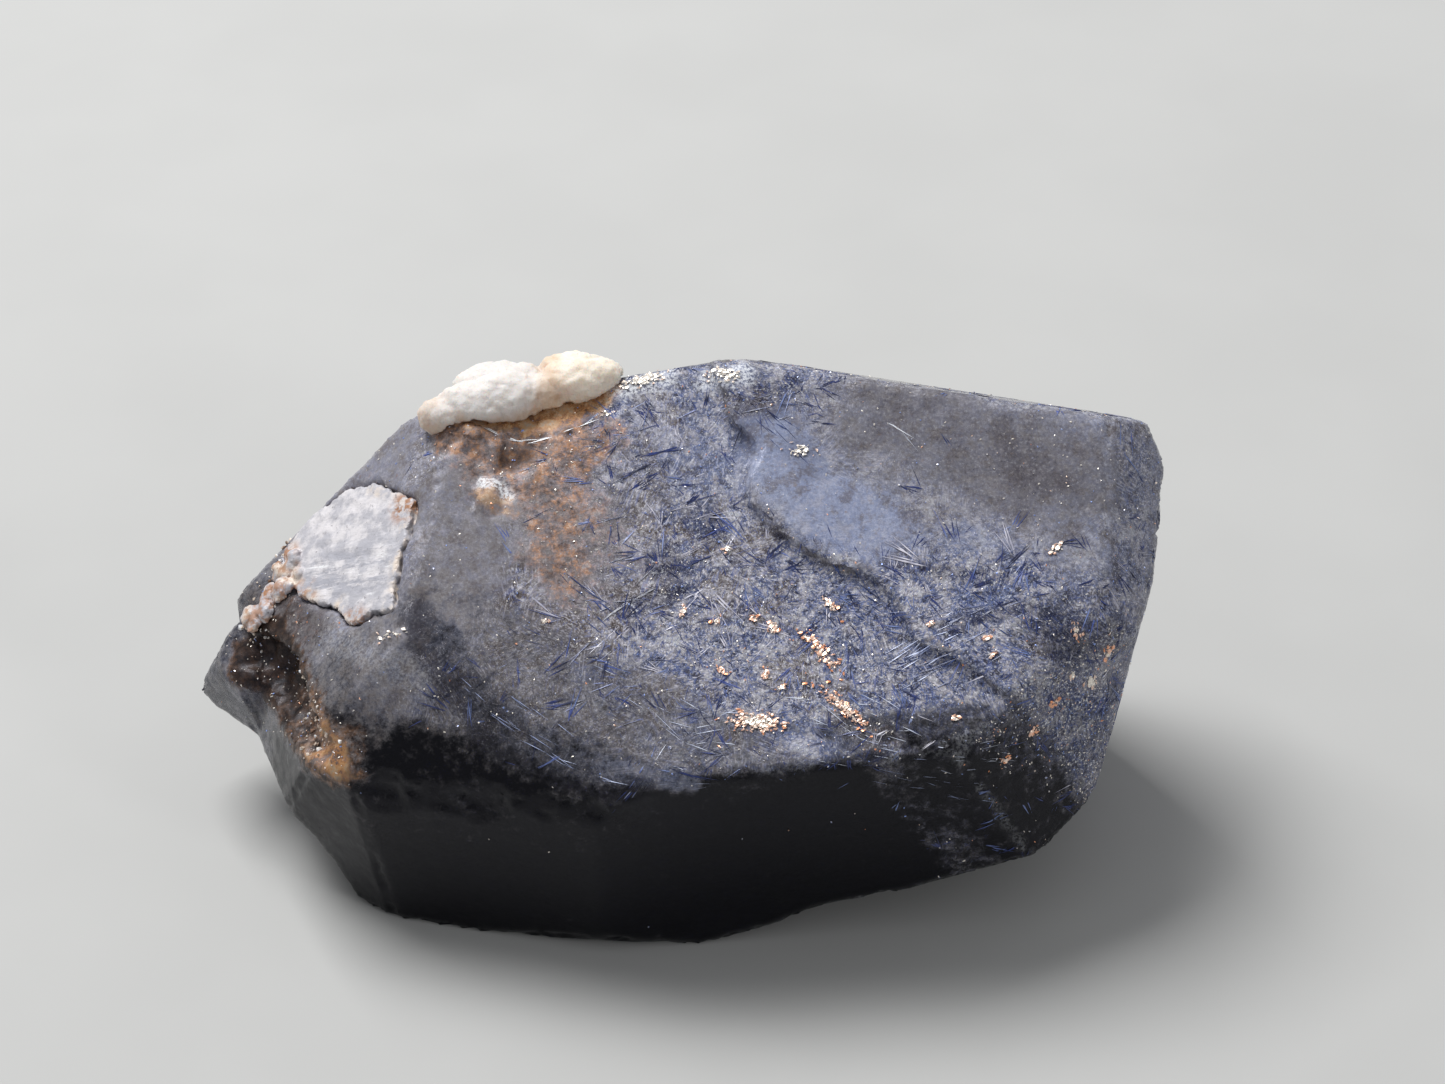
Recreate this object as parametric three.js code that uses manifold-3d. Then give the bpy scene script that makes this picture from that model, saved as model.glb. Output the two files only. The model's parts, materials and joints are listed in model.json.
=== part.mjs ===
// A stubby quartz crystal clouded with dumortierite, 27 mm long, lying on its broken underside.
// A smaller quartz point has grown out of its left end. A white plate is set in it and white knobs sit on it.
// Millimetres. +X runs from the pointed end to the broken end, -Y is the front and +Z is up.
// The origin is the middle of the bounding box's floor.
import * as THREE from "three";
import { mergeVertices } from "three/addons/utils/BufferGeometryUtils.js";
import Module from "manifold-3d";

const wasm = await Module();
wasm.setup();

// Driving dimensions, in millimetres and degrees.
const HEART = new THREE.Vector3(0.22, -1.2, 6); // a point inside, from which every face's reach is measured
const BLOCK = 60; // edge of the rough block that the faces are cut from
const LAYER = 0.32; // thickness of the last growth layer on the main face
const GAP = 0.08; // clearance between the quartz and what is set in it
const RHOMB_TO_AXIS = 51.8; // quartz's own angle between a point's sloping face and its long axis

// The crystal's flat faces. turn is the compass angle of the outward normal, from the front towards +X.
// tilt is the normal's angle above the horizontal. reach is the face's distance from HEART.
const FACES = {
  main: { turn: 0, tilt: 62, reach: 3.42 },
  front_left: { turn: -16.4, tilt: 35.5, reach: 4.88 },
  upper_left: { turn: -69.9, tilt: 46.9, reach: 7.18 },
  dark_left: { turn: -13.1, tilt: -3.7, reach: 6.33 },
  dark_right: { turn: 5.8, tilt: -3.9, reach: 5.72 },
  dark_far_left: { turn: -36.3, tilt: -7.3, reach: 8.85 },
  front_foot: { turn: -4.9, tilt: -45.1, reach: 7.98 },
  front_under: { turn: 35.3, tilt: -60.5, reach: 7.51 },
  right_front: { turn: 32.5, tilt: 10.5, reach: 8.15 },
  right_bevel: { turn: 60.8, tilt: 38.3, reach: 10.19 },
  right_end: { turn: 84.3, tilt: -9.7, reach: 12.09 },
  right_end_low: { turn: 75.7, tilt: -8.5, reach: 11.81 },
  right_corner: { turn: 110.3, tilt: 13.7, reach: 14.16 },
  right_under: { turn: 70.3, tilt: -44.5, reach: 9.99 },
  right_back: { turn: 131, tilt: -12, reach: 12.2 },
  back_top: { turn: 164.6, tilt: 54.7, reach: 8.18 },
  back_top_left: { turn: -161.9, tilt: 49.6, reach: 7.92 },
  back_left_top: { turn: -165.9, tilt: 45.6, reach: 7.72 },
  back: { turn: 174, tilt: -4, reach: 7.6 },
  back_under: { turn: 178, tilt: -52, reach: 7.3 },
  back_upper_left: { turn: -137.6, tilt: 22.7, reach: 9.72 },
  left_end: { turn: -67.8, tilt: 10.1, reach: 10.28 },
  left_under: { turn: -73.5, tilt: -31.4, reach: 11.4 },
  left_back_under: { turn: -130, tilt: -35, reach: 9.9 },
};

// Places on a face are given as right and up its slope, from the foot of the line out of HEART.

// The last growth layer covers the right of the main face and stops at this line, which starts past the
// face's top edge and ends past its bottom one.
const LAYER_EDGE = [
  [0.2, 8.4],
  [0.9, 6.6],
  [1.4, 5.3],
  [2.0, 4.7],
  [1.7, 3.3],
  [2.3, 2.2],
  [3.9, 1.2],
  [5.0, 0.8],
  [5.7, 0],
  [6.1, -1.0],
  [7.4, -1.7],
  [8.6, -2.6],
  [9.5, -4.5],
];

// The white plate's outline on the upper left face.
const PLATE_OUTLINE = [
  [-5.9, -2.7],
  [-4.2, -1.9],
  [-3.7, -2.1],
  [-2.7, -3.1],
  [-1.4, -3.9],
  [-2.0, -4.5],
  [-2.1, -5.0],
  [-2.5, -5.4],
  [-3.2, -5.4],
  [-4.0, -5.9],
  [-4.8, -6.3],
  [-5.9, -6.4],
  [-6.8, -6.2],
  [-7.0, -4.9],
  [-6.6, -3.5],
];
const PLATE_DEPTH = 0.5; // how far the plate is sunk in the quartz
const PLATE_PROUD = 0.14; // how far it stands out

// Crumbs of the plate's lower left margin, on the upper left face.
const CRUMBS = { from: [-6.5, -6.0], to: [-5.7, -8.0], across: [0.9, 0.35], count: 16, radius: [0.2, 0.36] };

// Knobs of white crust along the top edge, on the main face: at is right, up and out, and size is the
// half width each way.
const KNOBS = [
  { at: [-6.6, 5.75, -0.5], size: [0.65, 0.5, 0.5] },
  { at: [-5.7, 6.05, -0.45], size: [1.0, 0.66, 0.62] },
  { at: [-4.9, 6.3, -0.45], size: [1.05, 0.7, 0.66] },
  { at: [-3.9, 6.5, -0.5], size: [0.7, 0.5, 0.5] },
  { at: [-2.95, 6.8, -0.4], size: [0.95, 0.62, 0.6] },
  { at: [-2.3, 6.95, -0.5], size: [0.62, 0.5, 0.5] },
  { at: [-4.9, 6.75, -0.95], size: [1.5, 0.8, 0.7] },
  { at: [-3.0, 7.15, -0.9], size: [1.1, 0.7, 0.62] },
];

// Rounded bumps of stained quartz grown on the main face, in the same measures.
const BUMPS = [
  { at: [-5.25, 3.35, -0.4], size: [0.5, 0.6, 0.3] },
  { at: [-5.7, 5.1, -0.4], size: [0.55, 0.5, 0.3] },
  { at: [-5.2, 4.6, -0.45], size: [0.4, 0.5, 0.25] },
];

// Scoops left by broken chips. depth is how deep one bites and radius is the curve of its floor.
const SCOOPS = [
  { face: "main", at: [-4.2, 7.85], radius: 9, depth: 0.5 + LAYER },
  { face: "main", at: [-4.6, 4.4], radius: 0.7, depth: 0.25 + LAYER },
  { face: "main", at: [-4.1, 4.75], radius: 0.6, depth: 0.2 + LAYER },
  { face: "right_front", at: [5.6, 2.6], radius: 1.6, depth: 0.45 },
  { face: "right_front", at: [2.2, -2.4], radius: 5, depth: 0.35 },
  { face: "right_end_low", at: [0.8, 3.0], radius: 1.4, depth: 0.5 },
  { face: "right_end", at: [3.4, -2.6], radius: 11, depth: 0.5 },
  { face: "right_end", at: [5.4, 3.4], radius: 9, depth: 0.45 },
  { face: "right_under", at: [1, 0.6], radius: 8, depth: 0.6 },
  { face: "front_under", at: [1.6, 1.5], radius: 7, depth: 0.5 },
  { face: "dark_right", at: [-4.6, 1.2], radius: 3.2, depth: 0.35 },
  { face: "back_under", at: [-4.5, 0.5], radius: 6, depth: 0.6 },
  { face: "back_under", at: [3.5, 0], radius: 5, depth: 0.5 },
  { face: "left_under", at: [-1.5, 0.5], radius: 5, depth: 0.5 },
];

// The rusty cleft between the crystal and its side point: its two ends from HEART, and the widths on its way.
const CLEFT = {
  from: new THREE.Vector3(-11.7, 0.6, -0.5),
  to: new THREE.Vector3(-9.3, -4.9, -0.35),
  radii: [0.55, 0.85, 0.9, 0.8, 0.7, 0.65, 0.55, 0.5, 0.4],
};

// Worn ridges, each between two corners where three faces meet, and how many nicks each has.
const WORN_RIDGES = [
  { from: ["front_left", "dark_left", "dark_far_left"], to: ["front_left", "dark_left", "dark_right"], nicks: 12 },
  { from: ["front_left", "dark_right", "main"], to: ["main", "dark_right", "right_front"], nicks: 10 },
  { from: ["main", "right_front", "dark_right"], to: ["main", "right_front", "right_bevel"], nicks: 7 },
  { from: ["upper_left", "main", "front_left"], to: ["upper_left", "main", "back_left_top"], nicks: 5 },
  { from: ["main", "back_top", "right_bevel"], to: ["main", "back_top", "back_top_left"], nicks: 8 },
];
const NICK_RADIUS = [0.3, 0.9];
const NICK_BITE = 0.34; // share of its radius that a nick bites

// The smaller quartz point. tip is measured from HEART, and shortFaces is how far three of the six
// sloping faces stand back from it.
const SIDE_POINT = {
  tip: new THREE.Vector3(-13.75, 2, -3.1),
  axis: new THREE.Vector3(-0.92, 0.1, -0.38).normalize(),
  width: 3.4,
  length: 4.5,
  roll: 25,
  shortFaces: 0.25,
};

// A repeatable stream of numbers from 0 to 1.
function randomStream(seed) {
  let state = seed;
  return () => {
    state = (Math.imul(state, 1664525) + 1013904223) >>> 0;
    return state / 4294967296;
  };
}

function direction({ turn, tilt }) {
  const t = THREE.MathUtils.degToRad(turn);
  const e = THREE.MathUtils.degToRad(tilt);
  return new THREE.Vector3(Math.sin(t) * Math.cos(e), -Math.cos(t) * Math.cos(e), Math.sin(e));
}

// The matrix that takes (right, up the slope, out) on a face to the part's frame.
function faceFrame(name) {
  const out = direction(FACES[name]);
  const right = new THREE.Vector3(0, 0, 1).cross(out).normalize();
  const up = new THREE.Vector3().crossVectors(out, right);
  const middle = HEART.clone().addScaledVector(out, FACES[name].reach);
  return new THREE.Matrix4().makeBasis(right, up, out).setPosition(middle);
}

function onFace(name, right, up, out) {
  return new THREE.Vector3(right, up, out).applyMatrix4(faceFrame(name));
}

// The point where three faces meet.
function corner([a, b, c]) {
  const normals = [a, b, c].map((name) => direction(FACES[name]));
  const point = HEART.clone();
  [a, b, c].forEach((name, i) => {
    const across = new THREE.Vector3().crossVectors(normals[(i + 1) % 3], normals[(i + 2) % 3]);
    point.addScaledVector(across, FACES[name].reach / normals[i].dot(across));
  });
  return point;
}

// A geometry with nothing but its places, and one vertex for each.
function welded(geometry) {
  const bare = new THREE.BufferGeometry().setAttribute("position", geometry.getAttribute("position"));
  if (geometry.index) bare.setIndex(geometry.index);
  return mergeVertices(bare, 1e-4);
}

// A closed geometry as a solid that manifold-3d can join and cut.
function solid(geometry) {
  const merged = welded(geometry);
  return new wasm.Manifold(
    new wasm.Mesh({
      numProp: 3,
      vertProperties: merged.getAttribute("position").array,
      triVerts: new Uint32Array(merged.index.array),
    }),
  );
}

function meshOf(name, made, material) {
  const { vertProperties, triVerts } = made.getMesh();
  const indexed = new THREE.BufferGeometry();
  indexed.setAttribute("position", new THREE.BufferAttribute(vertProperties, 3));
  indexed.setIndex(new THREE.BufferAttribute(triVerts, 1));
  const mesh = new THREE.Mesh(indexed.toNonIndexed(), material);
  mesh.geometry.computeVertexNormals();
  mesh.name = name;
  return mesh;
}

function joined(solids) {
  return solids.reduce((all, next) => all.add(next));
}

// What lies outside a flat face: the block that is cut away to leave the face.
function outside(normal, from, reach) {
  const box = new THREE.BoxGeometry(2 * BLOCK, 2 * BLOCK, BLOCK);
  box.translate(0, 0, BLOCK / 2 + reach);
  box.applyQuaternion(new THREE.Quaternion().setFromUnitVectors(new THREE.Vector3(0, 0, 1), normal));
  box.translate(from.x, from.y, from.z);
  return solid(box);
}

// A rough ball or egg: its corners stand in or out by up to a share of their distance from the middle.
// frame places it, and size is its half width each way.
function lump(frame, size, roughness, fineness, next) {
  const rough = welded(new THREE.IcosahedronGeometry(1, fineness).scale(...size));
  const places = rough.getAttribute("position");
  const place = new THREE.Vector3();
  for (let i = 0; i < places.count; i++) {
    place.fromBufferAttribute(places, i).multiplyScalar(1 + roughness * (2 * next() - 1));
    places.setXYZ(i, ...place);
  }
  return solid(rough.applyMatrix4(frame));
}

function roundLump(centre, radius, roughness, fineness, next) {
  const frame = new THREE.Matrix4().setPosition(centre);
  return lump(frame, [radius, radius, radius], roughness, fineness, next);
}

function lumpOn(face, { at, size }, proud, fineness, next) {
  const frame = faceFrame(face).setPosition(onFace(face, ...at));
  return lump(frame, size.map((half) => half + proud), 0.05, fineness, next);
}

// An outline on a face as a solid slab from one height to another above the face.
function slabOn(face, outline, from, to) {
  const shape = new THREE.Shape(outline.map(([x, y]) => new THREE.Vector2(x, y)));
  const slab = new THREE.ExtrudeGeometry(shape, { depth: to - from, bevelEnabled: false });
  slab.translate(0, 0, from);
  return solid(slab.applyMatrix4(faceFrame(face)));
}

// The line with extra points between its own, each moved a little to either side.
function ragged(line, step, wander, seed) {
  const next = randomStream(seed);
  const made = [];
  for (let i = 0; i + 1 < line.length; i++) {
    const from = new THREE.Vector2(...line[i]);
    const way = new THREE.Vector2(...line[i + 1]).sub(from);
    const aside = new THREE.Vector2(-way.y, way.x).normalize();
    const pieces = Math.max(1, Math.round(way.length() / step));
    made.push(from);
    for (let k = 1; k < pieces; k++) {
      const place = from.clone().addScaledVector(way, k / pieces);
      made.push(place.addScaledVector(aside, wander * (2 * next() - 1)));
    }
  }
  made.push(new THREE.Vector2(...line.at(-1)));
  return made.map((place) => place.toArray());
}

// A closed outline moved inwards by a distance.
function inset(outline, distance) {
  const turning = Math.sign(THREE.ShapeUtils.area(outline.map(([x, y]) => new THREE.Vector2(x, y))));
  return outline.map(([x, y], i) => {
    const before = outline.at(i - 1);
    const after = outline[(i + 1) % outline.length];
    const way = new THREE.Vector2(after[0] - before[0], after[1] - before[1]).normalize();
    return [x - way.y * distance * turning, y + way.x * distance * turning];
  });
}

// In the functions below, proud makes the whole crystal that much bigger all round. What sits on the
// crystal is cut with a slightly bigger one, which leaves a clearance.

function flatFacedBody(proud) {
  let body = solid(new THREE.BoxGeometry(BLOCK, BLOCK, BLOCK));
  for (const face of Object.values(FACES)) body = body.subtract(outside(direction(face), HEART, face.reach + proud));
  return body.subtract(outside(new THREE.Vector3(0, 0, -1), new THREE.Vector3(), proud));
}

// A six-sided quartz point: a prism that ends in three large and three small sloping faces.
function quartzPoint({ tip, axis, width, length, roll, shortFaces }, proud) {
  const place = tip.clone().add(HEART);
  const turned = new THREE.Quaternion().setFromUnitVectors(new THREE.Vector3(0, 0, 1), axis);
  const lean = THREE.MathUtils.degToRad(RHOMB_TO_AXIS);
  let point = solid(new THREE.IcosahedronGeometry(2 * length, 1).translate(place.x, place.y, place.z));
  for (let side = 0; side < 6; side++) {
    const angle = THREE.MathUtils.degToRad(roll + 60 * side);
    const radial = new THREE.Vector3(Math.cos(angle), Math.sin(angle), 0).applyQuaternion(turned);
    const sloping = axis.clone().multiplyScalar(Math.cos(lean)).addScaledVector(radial, Math.sin(lean));
    point = point.subtract(outside(radial, place, width / 2 + proud));
    point = point.subtract(outside(sloping, place, proud + (side % 2 ? shortFaces : 0)));
  }
  return point.subtract(outside(axis.clone().negate(), place, length));
}

// The part of the main face that the last growth layer doesn't cover.
function olderSurface(proud) {
  const outline = [...ragged(LAYER_EDGE, 0.45, 0.1, 7), [9, -20], [-20, -20], [-20, 20], [0, 20]];
  return slabOn("main", inset(outline, proud), proud - LAYER, 4);
}

function plateOutline() {
  return ragged([...PLATE_OUTLINE, PLATE_OUTLINE[0]], 0.4, 0.05, 11).slice(0, -1);
}

function scoop({ face, at, radius, depth }, proud, next) {
  const [roughness, fineness] = radius > 2 ? [0.003, 11] : [0.06, 3];
  return roundLump(onFace(face, at[0], at[1], radius - depth), radius - proud, roughness, fineness, next);
}

function cleft(proud) {
  const next = randomStream(5);
  const { from, to, radii } = CLEFT;
  return radii.map((radius, i) => {
    const place = from.clone().lerp(to, i / (radii.length - 1)).add(HEART);
    return roundLump(place, radius - proud, 0.18, 2, next);
  });
}

function nicks(proud) {
  const next = randomStream(31);
  return WORN_RIDGES.flatMap((ridge) => {
    const from = corner(ridge.from);
    const to = corner(ridge.to);
    return Array.from({ length: ridge.nicks }, (_, i) => {
      const radius = THREE.MathUtils.lerp(NICK_RADIUS[0], NICK_RADIUS[1], next() ** 2);
      const place = from.clone().lerp(to, (i + 0.1 + 0.8 * next()) / ridge.nicks);
      const outwards = place.clone().sub(HEART).setX(0).normalize();
      place.addScaledVector(outwards, radius * (1 - NICK_BITE));
      return roundLump(place, radius - proud, 0.12, 2, next);
    });
  });
}

function bumps(proud) {
  const next = randomStream(3);
  return BUMPS.map((bump) => lumpOn("main", bump, proud, 3, next));
}

function quartzCrystal(proud = 0) {
  const next = randomStream(17);
  const pocket = slabOn("upper_left", inset(plateOutline(), proud), proud - PLATE_DEPTH, 2);
  const scoops = SCOOPS.map((entry) => scoop(entry, proud, next));
  const chips = joined([olderSurface(proud), pocket, ...scoops, ...nicks(proud)]);
  const grown = joined([flatFacedBody(proud).subtract(chips), quartzPoint(SIDE_POINT, proud), ...bumps(proud)]);
  return grown.subtract(joined(cleft(proud)));
}

// The plate lies in its pocket, and crumbs of it lie fused along its lower left margin.
function whitePlate(keepClear) {
  const next = randomStream(23);
  const plate = slabOn("upper_left", inset(plateOutline(), GAP), GAP - PLATE_DEPTH, PLATE_PROUD);
  const { from, to, across, count, radius } = CRUMBS;
  const crumbs = Array.from({ length: count }, (_, i) => {
    const along = (i + next()) / count;
    const aside = next();
    const right = THREE.MathUtils.lerp(from[0], to[0], along) + aside * across[0];
    const up = THREE.MathUtils.lerp(from[1], to[1], along) + aside * across[1];
    const size = THREE.MathUtils.lerp(radius[0], radius[1], next());
    return roundLump(onFace("upper_left", right, up, 0.05), size, 0.25, 1, next);
  });
  return joined([plate, ...crumbs]).subtract(keepClear);
}

function whiteKnobs(keepClear) {
  const next = randomStream(41);
  return joined(KNOBS.map((knob) => lumpOn("main", knob, 0, 4, next))).subtract(keepClear);
}

const quartzLook = new THREE.MeshStandardMaterial({ color: 0x6d7092, roughness: 0.28, metalness: 0 });
const plateLook = new THREE.MeshStandardMaterial({ color: 0xddd9dc, roughness: 0.6, metalness: 0 });
const knobLook = new THREE.MeshStandardMaterial({ color: 0xd6c9bb, roughness: 0.8, metalness: 0 });

const keepClear = quartzCrystal(GAP);
const crystal = new THREE.Group();
crystal.add(meshOf("quartz_crystal", quartzCrystal(), quartzLook));
crystal.add(meshOf("white_plate", whitePlate(keepClear), plateLook));
crystal.add(meshOf("white_knobs", whiteKnobs(keepClear), knobLook));

export default crystal;
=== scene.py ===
import json
import math
import random

import bmesh
import bpy
import numpy as np
from bpy.props import FloatProperty, FloatVectorProperty, IntProperty, PointerProperty
from mathutils import Matrix, Vector, noise
from mathutils.kdtree import KDTree

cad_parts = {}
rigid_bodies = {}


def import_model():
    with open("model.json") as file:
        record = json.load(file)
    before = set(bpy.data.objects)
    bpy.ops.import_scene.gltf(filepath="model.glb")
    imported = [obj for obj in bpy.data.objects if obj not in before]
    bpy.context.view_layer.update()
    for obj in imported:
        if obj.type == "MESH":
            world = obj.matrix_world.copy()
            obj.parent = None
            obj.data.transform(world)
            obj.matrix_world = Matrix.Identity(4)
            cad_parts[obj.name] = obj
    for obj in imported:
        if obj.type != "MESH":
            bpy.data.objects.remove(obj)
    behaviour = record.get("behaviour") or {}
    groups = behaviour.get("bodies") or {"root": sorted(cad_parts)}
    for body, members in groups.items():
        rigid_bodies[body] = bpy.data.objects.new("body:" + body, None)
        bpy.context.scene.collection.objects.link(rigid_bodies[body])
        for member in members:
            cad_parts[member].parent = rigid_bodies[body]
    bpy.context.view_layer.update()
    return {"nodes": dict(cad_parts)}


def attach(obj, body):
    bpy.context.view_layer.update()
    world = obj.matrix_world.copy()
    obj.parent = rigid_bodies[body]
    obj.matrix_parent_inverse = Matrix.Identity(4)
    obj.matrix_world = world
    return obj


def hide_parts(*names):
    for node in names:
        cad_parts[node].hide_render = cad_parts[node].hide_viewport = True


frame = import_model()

bl_info = {
    "name": "Dumortierite Quartz Crystal",
    "version": (1, 0, 0),
    "blender": (4, 5, 0),
    "location": "View3D > Sidebar > Crystal",
    "description": "Finishes a quartz crystal clouded with blue fibres, with its plate, crust and glints",
    "category": "Object",
}

# Everything is modelled in millimetres and is scaled to metres when its piece is finished.
MM = 0.001
WELD = 0.0005

# The solids' own measures: a point inside the crystal, and its flat faces by compass angle from the front,
# angle above the horizontal, and distance from that point.
HEART = np.array([0.22, -1.2, 6.0])
FACES = {
    "main": (0, 62, 3.42),
    "front_left": (-16.4, 35.5, 4.88),
    "upper_left": (-69.9, 46.9, 7.18),
    "dark_left": (-13.1, -3.7, 6.33),
    "dark_right": (5.8, -3.9, 5.72),
    "dark_far_left": (-36.3, -7.3, 8.85),
    "front_foot": (-4.9, -45.1, 7.98),
    "front_under": (35.3, -60.5, 7.51),
    "right_front": (32.5, 10.5, 8.15),
    "right_bevel": (60.8, 38.3, 10.19),
    "right_end": (84.3, -9.7, 12.09),
    "left_end": (-67.8, 10.1, 10.28),
}
PLATE_MIDDLE = (-4.1, -5)
PLATE_CRUMBS = [(-6.7, -5.9), (-6.0, -7.0), (-5.5, -8.0)]
CLEFT = (HEART + (-11.7, 0.6, -0.5), HEART + (-9.3, -4.9, -0.35))
LEDGE = [(1.4, 5.3), (2.0, 4.7), (1.7, 3.3), (2.3, 2.2), (3.9, 1.2), (5.0, 0.8)]
SPARKLE_BAND = [(0.5, 0.2), (4.4, -2.4)]
POINT_TIP = HEART + (-13.75, 2, -3.1)

# Where the camera and the two lights stand, by the same two angles, and what the camera looks at.
VIEW_FROM = (0, 38)
SPARKLE_FROM = (52, 27)
KEY_FROM = (-140, 58)
LIGHT_DISTANCE = 300
CAMERA_TARGET = Vector((1.28, -1.35, 9.95))
CAMERA_DISTANCE = 110
CAMERA_LENS = 102.2

# What the quartz is like all over, and on each of its faces: how clear it is, how full of blue fibres,
# how milky, how smoky, how dark blue, and how much painted shade darkens it.
ZONES = ("clear", "fibres", "haze", "smoke", "navy", "deep")
HIDDEN_SIDES = (0.72, 0.5, 0.25, 0.12, 0.2, 0.2)
FACE_ZONES = {
    "main": (0.5, 0.95, 0.25, 0, 0, 0),
    "front_left": (0.75, 0.12, 0.1, 0, 0.1, 0.68),
    "upper_left": (0.42, 0.06, 0.35, 0.1, 0, 0),
    "dark_left": (0.45, 0.03, 0, 0, 0, 1),
    "dark_right": (0.45, 0.1, 0, 0, 0.1, 1),
    "dark_far_left": (0.45, 0.03, 0, 0, 0, 1),
    "front_foot": (0.45, 0.05, 0, 0, 0, 1),
    "front_under": (0.45, 0.08, 0, 0, 0.1, 1),
    "right_front": (0.5, 0.95, 0.25, 0, 0.4, 0.28),
    "right_bevel": (0.55, 0.35, 0.6, 0, 0.05, 0.05),
    "right_end": (0.7, 0.5, 0.25, 0, 0.2, 0.2),
    "left_end": (0.8, 0.05, 0.15, 0.1, 0, 0.55),
}

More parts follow.
